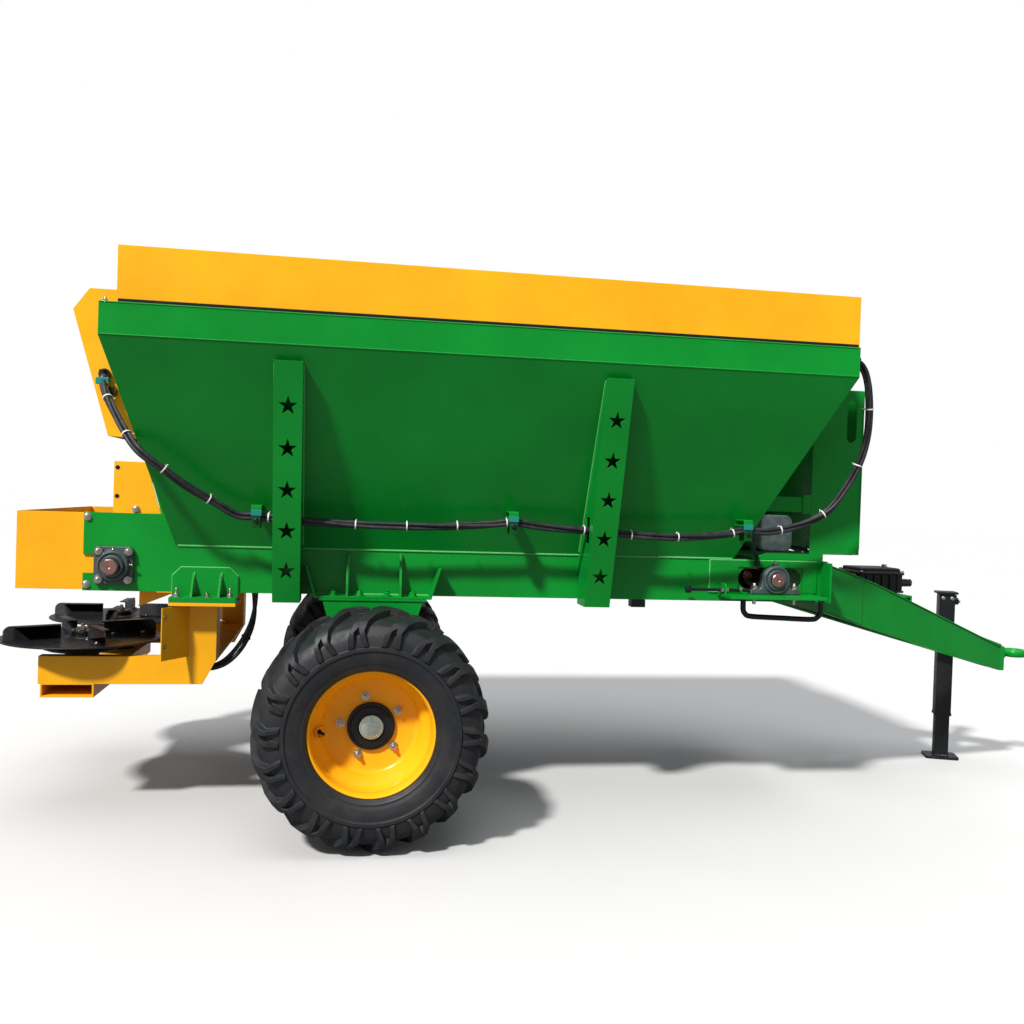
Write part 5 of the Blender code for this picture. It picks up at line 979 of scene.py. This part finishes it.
class SPREADER_OT_frame_fastenings(bpy.types.Operator):
    """Bolts, nuts and weld beads on the frame, the brackets and the rear box."""

    bl_idname = "spreader.frame_fastenings"
    bl_label = "Frame bolts and welds"

    def execute(self, context):
        self.bolts(context.scene.spreader_sizes.bolt)
        self.welds(context.scene.spreader_sizes.weld)
        self.edges()
        return {"FINISHED"}

    def bolts(self, size):
        """Fastenings at the rear box, the outlet cheeks, both brackets, the guards and the axle tray."""
        side_rear = corners("side_plate_right")[0][0]
        y = SIDE_FACE
        at_plate = [(side_rear + 0.012, y, 1.06), (side_rear + 0.012, y, 0.822)]
        heads = fixed(bolt(size), at_plate, (0, -1, 0))
        cheek = corners("outlet_cheek_right")
        top = corners("side_plate_right")[1][2]
        tab = fixed(bolt(size), [(cheek[0][0] + 0.078, -0.4874, top + 0.013)], (0, -1, 0))
        pair("box_bolts", [heads, tab], "zinc")
        low, high = corners("spinner_bracket_right")
        foot = low[2] + 0.018
        mid = -0.548
        studs = [(low[0] + 0.022, mid, foot), (high[0] - 0.022, mid, foot)]
        centre_bolt = [((low[0] + high[0]) / 2 + 0.012, mid + 0.004, foot)]
        pair("spinner_bracket_studs", [fixed(nut(0.0125, 1.5), studs, UP),
                                       fixed(nut(FRAME_NUT, 0.3), centre_bolt, UP)], "zinc")
        floor = corners("axle_bracket_right")[0][2] + 0.0082
        places = [(x, -0.545, floor) for x in (-0.9985, -0.9035, -0.8055, -0.7115)]
        pair("axle_tray_nuts", [fixed(nut(0.015, 0.35), places, UP)], "green")
        guard = [(-1.5658, -0.6008, 0.721), (-1.5658, -0.6008, 0.619)]
        direction = (0.831, -0.5565, 0.0)
        rings = [lathe([(0.0045, 0.0), (0.0075, 0.0), (0.0075, 0.0012), (0.0045, 0.0012)],
                       np.array(g) * (1, s, 1), np.array(direction) * (1, s, 1), 20, ring=True)
                 for g in guard for s in (1, -1)]
        # Flat black discs on the outlet cheeks: painted shade inside their bolt holes.
        outlet = [lathe([(0.0075, 0.0), (0.0075, 0.001), (0.006, 0.0012)],
                        (cheek[0][0] + 0.012, s * 0.4876, z), (0, s, 0),
                        20) for z in (1.236, 1.135) for s in (-1, 1)]
        piece("outlet_hole_shadows", outlet, "black")
        piece("guard_eyelets", rings, "zinc")

    def welds(self, r):
        """Beads where the hopper stands on the side plates, round the posts, brackets and the tray."""
        y = SIDE_FACE
        runs = [[(x, y - 0.001, FRAME_TOP + 0.0005) for x in (-1.548, 0.53)]]
        low, high = corners("spinner_bracket_right")
        corner, face = 0.03, y - 0.0012
        z = high[2]
        runs.append([(low[0], face, low[2] + 0.02), (low[0], face, z - corner), (low[0] + corner, face, z),
                     (high[0] - corner, face, z), (high[0], face, z - corner),
                     (high[0], face, low[2] + 0.02)])
        for x in (-1.5072 + 0.018, -1.4052 + 0.01):
            runs.append([(x + 0.0045, face - 0.008, height) for height in (low[2] + 0.022, z - 0.016)])
        tray_low, tray_high = corners("axle_bracket_right")
        for x in (-0.094, 0.098):
            runs.append([(AXLE_X + x + 0.0045, y - 0.0012, height)
                         for height in (tray_low[2] + 0.012, tray_high[2] - 0.004)])
        for k in (-1, 1):
            runs.append([(AXLE_X + k * 0.212, y - 0.0012, tray_low[2] + 0.01),
                         (AXLE_X + k * 0.243, y - 0.0012, tray_low[2] + 0.112)])
        runs.append([(AXLE_X + x, y - 0.0012, tray_low[2] + 0.0088) for x in (-0.205, 0.205)])
        post_top = 1.592
        for node in ("post_rear_right", "post_front_right"):
            plow, phigh = corners(node)
            for x in (plow[0] - 0.0008, phigh[0] + 0.0008):
                runs.append([(x, wall_y(post_top) + 0.0015, post_top), (x, y - 0.01, FRAME_TOP + 0.012)])
        pair("frame_welds", [bead(run, r * (1.3 if run is runs[0] else 1.0)) for run in runs], "weld")

    def edges(self):
        """Rounded lips along the rim's upper and lower edge, a black strip that paints the shadow gap under
        the boards, and the boards' pins.
        """
        y = 0.001 - RIM_HIGH[1]
        rear, front = HOPPER_REAR + 0.002, RIM_HIGH[0] - 0.001
        lines = [[(rear, y, z), (front, y, z)] for z in (RIM_HIGH[2] - 0.002, RIM_LOW[2] + 0.002)]
        pair("rim_edges", [tube(even(line, 0.05), LIP, 10) for line in lines], "green")
        low, high = corners("extension")
        # Thin black strip along the boards' lower edge: painted shadow in the gap above the rim's flange.
        strip = box((low[0] + 0.004, low[1] - 0.0018, low[2] + 0.0002),
                    (high[0] - 0.004, low[1] - 0.0002, low[2] + 0.015), 0.0004)
        pair("extension_shadow_strip", [strip], "black")
        pin = (rear + 0.014, -0.834, RIM_HIGH[2] + 0.0004)
        pair("extension_pins", [fixed(nut(0.009, 0.8), [pin], UP)], "zinc")


class SPREADER_OT_front(bpy.types.Operator):
    """Chain tensioner, doubler plates, pipes under the shelf, tank and cover fittings."""

    bl_idname = "spreader.front"
    bl_label = "Front end"

    def execute(self, context):
        self.doublers(context.scene.spreader_sizes.weld)
        self.tensioner()
        self.pipes()
        self.tank()
        self.small_plates()
        return {"FINISHED"}

    def doublers(self, r):
        """Second plate welded on the side round the front shaft's slot, with a bead along its edges."""
        x0, x1, y, t = 0.439, 0.883, SIDE_FACE, 0.005
        z0, z1 = 0.8335 + 0.0005, 0.96
        slot_x, reach = 0.68985, 0.128
        shapes = [box((x0, y - t, 0.933), (x1, y - 0.0002, z1), 0.001),
                  box((x0, y - t, z0), (slot_x - reach - 0.006, y - 0.0002, 0.934), 0.001),
                  box((slot_x + reach + 0.006, y - t, z0), (x1, y - 0.0002, 0.934), 0.001)]
        pair("slot_doublers", shapes, "green")
        runs = [[(x0, y - t * 0.6, z0), (x0, y - t * 0.6, z1), (x1, y - t * 0.6, z1)],
                [(x0 + 0.004, y - t * 0.6, z0 + 0.002), (0.478, y - t * 0.6, z0 + 0.002)]]
        pair("doubler_welds", [bead(run, r) for run in runs], "weld")

    def tensioner(self):
        """Threaded rod that draws the front bearing forward, its eye, lock nuts and the tab it passes."""
        x, y, z = 0.59, -0.543, 0.847
        rod = np.array([(0.356, y, z), (x, y, z)])
        turns = np.arange(0.0, 0.12, 0.0022)
        thread = np.column_stack([0.0062 + 0.0006 * (np.arange(len(turns)) % 2), turns])
        shapes = [tube(even(rod, 0.02), 0.006, 14), lathe(thread, (0.46, y, z), (1, 0, 0), 16),
                  lathe([(0.013, 0.0), (0.014, 0.002), (0.014, 0.018), (0.012, 0.02)], (0.35, y, z),
                        (-1, 0, 0), 18),
                  lathe([(0.007, -0.006), (0.0125, -0.006), (0.0125, 0.006), (0.007, 0.006)],
                        (x + 0.006, y, z), UP, 20, ring=True)]
        nuts = fixed(hexagon(0.022, 0.0, 0.011), [(0.47, y, z), (0.49, y, z), (0.545, y, z)], (1, 0, 0))
        pair("chain_tensioner", shapes, "black")
        pair("tensioner_nuts", [nuts], "zinc")
        outline = [(y - 0.018, z - 0.022), (y + 0.045, z - 0.022), (y + 0.045, z + 0.026),
                   (y - 0.01, z + 0.026), (y - 0.018, z + 0.014)]
        pair("tensioner_tab", [plate(outline, "X", 0.483, 0.489, 0.0008)], "green")

    def pipes(self):
        """Steel pipe bent in a U under the shelf, and the hose that goes down behind the front clip."""
        y = -0.53
        u_pipe = [(0.57, y, 0.83), (0.57, y, 0.776), (0.578, y, 0.756), (0.602, y, 0.745), (0.72, y, 0.74),
                  (0.85, y, 0.736), (0.878, y, 0.744), (0.89, y, 0.764), (0.892, y, 0.83)]
        piece("shelf_pipe", [tube(route(u_pipe, 0.006), 0.0105, 16)], "black")
        slope = [(0.555, -0.595, 1.056), (0.59, -0.556, 1.01), (0.62, -0.525, 0.975), (0.63, -0.518, 0.94)]
        piece("slot_hose", [tube(route(slope, 0.006), 0.0085, 16)], "black")

    def tank(self):
        """Oil tank with pressed ends: a rounded box section carried along Y, narrowed at both ends."""
        low, high = corners("oil_tank")
        centre = (low + high) / 2
        h = (high - low) / 2
        section = rounded(h[0], h[2], 0.03, 7)
        stations = np.array([(-1.0, 0.9), (-0.995, 0.94), (-0.985, 0.965), (-0.97, 0.975), (-0.965, 1.0),
                             (-0.945, 1.0), (-0.94, 0.985), (-0.36, 0.985), (-0.355, 1.0), (-0.325, 1.0),
                             (-0.32, 0.985), (0.32, 0.985), (0.325, 1.0), (0.355, 1.0), (0.36, 0.985),
                             (0.94, 0.985), (0.945, 1.0), (0.965, 1.0), (0.97, 0.975), (0.985, 0.965),
                             (0.995, 0.94), (1.0, 0.9)])
        table = np.stack([np.column_stack([section[:, 0] * k, np.full(len(section), v * h[1]),
                                           section[:, 1] * k])
                          for v, k in stations]) + centre
        filler = [lathe([(0.022, -0.003), (0.022, 0.004), (0.026, 0.005), (0.026, 0.0075), (0.024, 0.0085)],
                        (centre[0], -h[1] * 0.6, high[2]), UP, 28)]
        piece("tank_shell", [grid(table, close_v=True)], "tank", "chassis", ("oil_tank",), 34.0)
        piece("tank_cap", filler, "black")

    def small_plates(self):
        """The cover's brackets and rounded edges, the posts' foot plates, the stops under the frame."""
        strut, (low, high) = corners("cover_strut"), corners("front_cover")
        bracket = box((low[0] - 0.034, -0.47, strut[0][2] - 0.006),
                      (low[0] - 0.0008, -0.466, strut[1][2] + 0.008), 0.001)
        pair("strut_brackets", [bracket], "green")
        y = -0.4703
        front, top = high[0] - 0.002, high[2] - 0.002
        lip = [(low[0] + 0.002, y, low[2] + 0.002), (front - 0.02, y, low[2] + 0.002),
               (front - 0.006, y, low[2] + 0.008), (front, y, low[2] + 0.022), (front, y, top)]
        pair("cover_edges", [tube(even(lip, 0.012), LIP, 10)], "green")
        posts = [corners(name) for name in ("post_rear_right", "post_front_right")]
        feet = [box((low[0] + 0.008, -0.606, 0.865), (high[0] - 0.008, -0.602, 0.925), 0.0005)
                for low, high in posts]
        pair("post_feet", feet, "green")
        pair("frame_stop", [box((0.13, -0.499, 0.77), (0.185, -0.456, 0.7997), 0.002)], "black")


class SPREADER_OT_drawbar(bpy.types.Operator):
    """Doubler and edge welds of the drawbar, the ring eye, the drive block with its fittings, the jack."""

    bl_idname = "spreader.drawbar"
    bl_label = "Drawbar, drive and jack"

    def execute(self, context):
        self.beams(context.scene.spreader_sizes.weld)
        self.eye()
        self.drive()
        self.jack()
        return {"FINISHED"}

    def beams(self, r):
        """Second plates on the beams' outer faces behind the knee, and beads along the beams' edges."""
        low = corners("drawbar_beam_right")[0]
        x0, knee = low[0] + 0.0005, 1.21515
        root_y, slope = 0.46, (0.46 - 0.07) / (2.8703 - 1.7853)

        def y_at(x):
            """Outer face of the right-hand beam at x."""
            return -(root_y - slope * (x - low[0]))

        face = [(x0, 0.768), (1.15, 0.697), (1.145, 0.885), (x0, 0.944)]
        points = [[(x, y_at(x) - lift, z) for x, z in face] for lift in (0.0004, 0.0048)]
        pair("beam_doublers", [grid(np.array(points), close_v=True)], "green")
        top = [(x, y_at(x) - 0.002, z) for x, z in ((x0, 0.955), (knee, 0.868), (2.014, 0.567))]
        root = [(x0 + 0.001, -0.464, 0.765), (x0 + 0.001, -0.464, 0.95)]
        pair("beam_welds", [bead(root, r)], "weld")
        pair("beam_edges", [tube(even(top, 0.04), 0.0026, 10)], "green")

    def eye(self):
        """Forged ring: a flattened torus, its shank drawn into a round collar on the head plate."""
        x, z = 2.1351, 0.528
        low, high = corners("hitch")
        around = 2 * pi * np.arange(64) / 64
        across_angle = 2 * pi * np.arange(20) / 20
        mean, half = 0.0405, 0.0145
        flat = 0.017
        ring_r = mean + half * np.sign(np.cos(across_angle)) * np.abs(np.cos(across_angle)) ** 0.8
        ring_z = flat * np.sign(np.sin(across_angle)) * np.abs(np.sin(across_angle)) ** 0.8
        table = np.stack([x + ring_r[None] * np.cos(around)[:, None], ring_r[None] * np.sin(around)[:, None],
                          z + np.broadcast_to(ring_z, (64, 20))], -1)
        ring = grid(table, close_u=True, close_v=True)
        head = low[0] + 0.022
        shank = [(0.046, 0.0), (0.046, 0.008), (0.04, 0.011), (0.036, 0.012), (0.036, 0.032), (0.031, 0.037),
                 (0.024, 0.044), (0.018, 0.056)]
        face = box((low[0], -0.07, low[2]), (head, 0.07, high[2]), 0.002)
        fish = [(low[0] - 0.15, 0.028 + 0.066), (low[0] - 0.15, -0.094), (low[0] + 0.012, -0.062),
                (low[0] + 0.02, -0.04), (low[0] + 0.02, 0.04), (low[0] + 0.012, 0.062)]
        top = plate(fish, "Z", high[2] + 0.0005, high[2] + 0.0085, 0.001)
        top_points = top[0].copy()
        top_points[:, 2] += (low[0] - top_points[:, 0]) * 0.3457 * (top_points[:, 0] < low[0])
        piece("hitch_eye", [ring, lathe(shank, (head - 0.0005, 0, z), (1, 0, 0), 40), face,
                            (top_points, top[1])],
              "green", "chassis", ("hitch",), 40.0)
        rim = [(head + 0.001, 0.044 * cos(a), z + 0.044 * sin(a)) for a in np.linspace(0, 2 * pi, 40)]
        piece("hitch_welds", [bead(rim, 0.0032)], "weld")

    def drive(self):
        """Drive block: ribbed casting, flange round its lid, bolted covers, ports and the splined shaft."""
        low, high = corners("gearbox")
        nose = high[0] - 0.028
        c = (low + high) / 2
        w = high[1]
        shapes = [box((low[0] + 0.004, -w + 0.008, low[2]), (nose - 0.004, w - 0.008, high[2] - 0.014),
                      0.006),
                  box((low[0], -w, high[2] - 0.03), (nose, w, high[2] - 0.018), 0.003),
                  box((low[0] + 0.012, -w + 0.014, high[2] - 0.018), (nose - 0.012, w - 0.014, high[2]),
                      0.005),
                  box((low[0], -w, low[2]), (nose, w, low[2] + 0.01), 0.003)]
        for k in range(5):
            x = low[0] + 0.03 + k * 0.0375
            for inner, outer in ((-w + 0.001, -w + 0.012), (w - 0.012, w - 0.001)):
                shapes.append(box((x, inner, low[2] + 0.008), (x + 0.007, outer, high[2] - 0.028), 0.001))
        z = (corners("input_shaft")[0][2] + corners("input_shaft")[1][2]) / 2
        shapes.append(lathe([(0.052, -0.003), (0.052, 0.008), (0.046, 0.01), (0.036, 0.011), (0.036, 0.026),
                             (0.034, 0.028), (0.019, 0.028), (0.019, 0.02)], (nose, 0, z), (1, 0, 0), 40))
        ports = [lathe([(0.017, 0.0), (0.017, 0.03), (0.013, 0.034), (0.013, 0.05)],
                       (low[0] - 0.001, y, c[2] + 0.01), (-1, 0, 0), 24) for y in (-0.055, 0.045)]
        piece("drive_block", shapes + ports, "black", "chassis", ("gearbox",), 34.0)
        lid = [(x, y, high[2] - 0.018) for x in (low[0] + 0.006,
                                                 nose - 0.006) for y in (-w + 0.007, w - 0.007)]
        heads = fixed(bolt(0.008), lid, UP)
        corner = np.radians(45 + 90 * np.arange(4))
        ring = [(nose + 0.009, 0.044 * cos(a), z + 0.044 * sin(a)) for a in corner]
        plug = fixed(bolt(0.014), [(c[0] + 0.05, 0.0, high[2])], UP)
        gland = [lathe([(0.016, 0.0), (0.016, 0.012), (0.014, 0.014)], (low[0] - 0.04, y, c[2] + 0.01),
                       (-1, 0, 0), 6) for y in (-0.055, 0.045)]
        piece("drive_bolts", [heads, fixed(bolt(0.008), ring, (1, 0, 0)), plug] + gland, "zinc")
        for name, y0, z0 in (("a", -0.055, 0.0), ("b", 0.045, 0.004)):
            start = np.array((low[0] - 0.05, y0, c[2] + 0.01))
            path = [start, start + (-0.045, 0.0, 0.006), start + (-0.11, -0.02, 0.028 + z0),
                    (1.06, y0 * 1.2, 0.978 + z0), (0.96, y0 * 1.5, 1.0 + z0), (0.9, y0 * 1.6, 1.02 + z0),
                    (0.8455, y0 * 1.6, 1.04 + z0)]
            piece("drive_pipe_" + name, [tube(route(path, 0.008), 0.0095, 16)], "black")
        root, tip = corners("input_shaft")
        teeth = 2 * pi * np.arange(120) / 120
        swell = np.where(np.sin(teeth * 20) > 0, 0.0175, 0.015)
        xs = np.array((root[0] + 0.004, root[0] + 0.006, tip[0] - 0.018, tip[0] - 0.016, tip[0] - 0.009,
                       tip[0] - 0.007, tip[0] - 0.002, tip[0]))
        scale = np.array((0.82, 1.0, 1.0, 0.8, 0.8, 1.0, 1.0, 0.86))
        table = np.stack([np.broadcast_to(xs[:, None], (8, 120)), scale[:, None] * swell * np.cos(teeth),
                          z + scale[:, None] * swell * np.sin(teeth)], -1)
        piece("splined_shaft", [grid(table, close_v=True)], "spline", "input_shaft", ("input_shaft",), 30.0)

    def jack(self):
        """Square tubes with rounded corners, the cap with its crank, the pinned collar and the foot plate."""
        low, high = corners("jack_tube")
        centre = middle("jack_tube") * (1, 1, 0)
        base = spin(-radians(19.77))            # the jack is square to the drawbar's beam

        def square(half, z0, z1, r, half_y=None):
            """Bar with rounded corners between two heights, turned with the jack."""
            points, faces = plate(rounded(half, half_y or half, r, 5), "Z", z0, z1, 0.0008)
            return points @ base.T + centre, faces

        tube_shapes = [square(0.035, low[2], high[2] - 0.01, 0.006),
                       square(0.0375, low[2], low[2] + 0.012, 0.007),
                       square(0.046, high[2] - 0.01, high[2], 0.004, 0.0445)]
        axle_dir = base @ np.array((0.0, -1.0, 0.0))
        along = base @ np.array((1.0, 0.0, 0.0))
        hub = centre + (0, 0, high[2] - 0.045) + 0.034 * along
        tube_shapes.append(lathe([(0.016, 0.0), (0.016, 0.02), (0.012, 0.022)], hub, along, 24))
        tube_shapes.append(box(hub + (-0.004, -0.008, -0.012), hub + (0.012, 0.008, 0.03), 0.001))
        piece("jack_tubes", tube_shapes, "black", "chassis", ("jack_tube",), 34.0)
        small = [hub + 0.0225 * along, centre + (0, 0, high[2] - 0.03) + 0.0355 * axle_dir + 0.02 * along,
                 centre + (0, 0, high[2] - 0.03) + 0.0355 * axle_dir - 0.02 * along]
        piece("jack_bolts", [fixed(bolt(0.008), small[:1], along), fixed(bolt(0.008), small[1:], axle_dir)],
              "zinc")
        leg_low, leg_high = corners("jack_leg")
        foot = [square(0.0305, leg_low[2] + 0.01, leg_high[2], 0.005),
                square(0.075, leg_low[2], leg_low[2] + 0.012, 0.014, 0.055)]
        bottom = leg_low[2] + 0.014
        piece("jack_foot", foot, "black", "jack_leg", ("jack_leg",), 34.0)
        seam = [centre + base @ np.array((x, y, bottom)) for x, y in
                ((-0.031, -0.031), (0.031, -0.031), (0.031, 0.031), (-0.031, 0.031), (-0.031, -0.031))]
        piece("jack_weld", [bead(seam, 0.003)], "black", "jack_leg")


class SPREADER_OT_gate(bpy.types.Operator):
    """Ports of the cylinder that lifts the gate."""

    bl_idname = "spreader.gate"
    bl_label = "Gate cylinder"

    def execute(self, context):
        low, high = corners("gate_cylinder")
        profile = [(0.008, 0.0), (0.008, 0.014), (0.006, 0.016)]
        ports = [lathe(profile, (high[0] - 0.03, -0.015, z), (0, -1, 0), 16)
                 for z in (low[2] + 0.03, high[2] - 0.03)]
        piece("cylinder_ports", ports, "black")
        return {"FINISHED"}


FILL_STRENGTH = 0.38
KEY_STRENGTH = 5.2
KEY_DIRECTION = (0.46, 0.525, -0.725)
OVERHEAD_STRENGTH = 1.8
FLOOR_HALF = 40.0
FLOOR_RETURN = 0.3             # share of the floor's colour that lights the undersides
CAMERA_TURN = (0.1639, -0.0152, 0.0334)     # yaw, pitch and roll, in radians


class SPREADER_OT_studio(bpy.types.Operator):
    """Pale floor, soft light and the camera."""

    bl_idname = "spreader.studio"
    bl_label = "Studio"

    def execute(self, context):
        scene = context.scene
        self.floor(scene)
        self.lights(scene)
        self.camera(scene)
        return {"FINISHED"}

    def floor(self, scene):
        """Pale floor that gives back less light than the camera sees, so undersides stay dark."""
        n = Nodes("studio_floor")
        colour = scene.spreader_colours.floor
        base = n.mix(n.scaled(n.noise(0.8, 3.0), 0.0, 1.0), shade(colour, 0.985), shade(colour, 1.0))
        seen = n.tree.nodes.new("ShaderNodeLightPath").outputs["Is Camera Ray"]
        base = n.mix(seen, shade(colour, FLOOR_RETURN), base)
        n.finish(base, n.scaled(n.noise(3.0, 2.0), 0.55, 0.62), n.bump(n.noise(60.0, 2.0), 0.0004, 0.1))
        ends = (-FLOOR_HALF, FLOOR_HALF)
        points, faces = grid(np.array([[(x, y, 0.0) for y in ends] for x in ends]), caps=False)
        mesh = bpy.data.meshes.new("floor")
        mesh.from_pydata(points.tolist(), [], faces[0].tolist())
        mesh.materials.append(n.material)
        floor = bpy.data.objects.new("floor", mesh)
        scene.collection.objects.link(floor)

    def lights(self, scene):
        """White backdrop for the camera, a softer fill for the rest, a key sun and an overhead one."""
        world = bpy.data.worlds.new("studio")
        scene.world = world
        world.use_nodes = True
        tree = world.node_tree
        fill = tree.nodes["Background"]
        fill.inputs["Color"].default_value = (0.93, 0.96, 1.0, 1.0)
        fill.inputs["Strength"].default_value = FILL_STRENGTH
        backdrop = tree.nodes.new("ShaderNodeBackground")
        backdrop.inputs["Color"].default_value = (1.0, 1.0, 1.0, 1.0)
        seen = tree.nodes.new("ShaderNodeLightPath")
        mixed = tree.nodes.new("ShaderNodeMixShader")
        tree.links.new(seen.outputs["Is Camera Ray"], mixed.inputs["Fac"])
        tree.links.new(fill.outputs["Background"], mixed.inputs[1])
        tree.links.new(backdrop.outputs["Background"], mixed.inputs[2])
        tree.links.new(mixed.outputs["Shader"], tree.nodes["World Output"].inputs["Surface"])
        sun = bpy.data.lights.new("key", "SUN")
        sun.energy = KEY_STRENGTH
        sun.angle = radians(5.0)
        sun.color = (1.0, 0.98, 0.94)
        key = bpy.data.objects.new("key", sun)
        key.rotation_euler = Vector(KEY_DIRECTION).to_track_quat("-Z", "Y").to_euler()
        scene.collection.objects.link(key)
        high = bpy.data.lights.new("overhead", "SUN")
        high.energy = OVERHEAD_STRENGTH
        high.angle = radians(50.0)
        scene.collection.objects.link(bpy.data.objects.new("overhead", high))
        scene.view_settings.view_transform = "Standard"

    def camera(self, scene):
        """Camera on the machine's right, a little behind the axle, turned slightly towards the hitch."""
        sizes = scene.spreader_sizes
        data = bpy.data.cameras.new("camera")
        data.lens = sizes.lens
        data.sensor_width = 36.0
        camera = bpy.data.objects.new("camera", data)
        yaw, pitch, roll = CAMERA_TURN
        forward = Vector((sin(yaw) * cos(pitch), cos(yaw) * cos(pitch), sin(pitch)))
        level = Vector((cos(yaw), -sin(yaw), 0.0))
        rise = level.cross(forward)
        right = level * cos(roll) + rise * sin(roll)
        up = rise * cos(roll) - level * sin(roll)
        place = Vector(sizes.camera) + Vector((AXLE_X, 0.0, 0.0))
        turn = Matrix((right, up, -forward)).transposed().to_4x4()
        camera.matrix_world = Matrix.Translation(place) @ turn
        scene.collection.objects.link(camera)
        scene.camera = camera


class SPREADER_PT_panel(bpy.types.Panel):
    """Sizes, colours and the operators in the order they run."""

    bl_idname = "SPREADER_PT_panel"
    bl_label = "Manure spreader"
    bl_space_type = "VIEW_3D"
    bl_region_type = "UI"
    bl_category = "Spreader"

    def draw(self, context):
        layout = self.layout
        for group in (context.scene.spreader_sizes, context.scene.spreader_colours):
            for key in group.__annotations__:
                layout.prop(group, key)
        for operator in OPERATORS:
            layout.operator(operator.bl_idname)


OPERATORS = (SPREADER_OT_studio, SPREADER_OT_paint, SPREADER_OT_wheels, SPREADER_OT_discs, SPREADER_OT_hoses,
             SPREADER_OT_bearings, SPREADER_OT_frame_fastenings, SPREADER_OT_front, SPREADER_OT_drawbar,
             SPREADER_OT_gate)
CLASSES = (SpreaderColours, SpreaderSizes) + OPERATORS + (SPREADER_PT_panel,)


def register():
    """Register the classes and hang their properties on the scene."""
    for cls in CLASSES:
        bpy.utils.register_class(cls)
    bpy.types.Scene.spreader_colours = PointerProperty(type=SpreaderColours)
    bpy.types.Scene.spreader_sizes = PointerProperty(type=SpreaderSizes)


def unregister():
    """Take off what register put on."""
    del bpy.types.Scene.spreader_sizes
    del bpy.types.Scene.spreader_colours
    for cls in reversed(CLASSES):
        bpy.utils.unregister_class(cls)


def main():
    """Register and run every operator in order."""
    register()
    for operator in OPERATORS:
        group, name = operator.bl_idname.split(".")
        getattr(getattr(bpy.ops, group), name)()


if __name__ == "__main__":
    main()
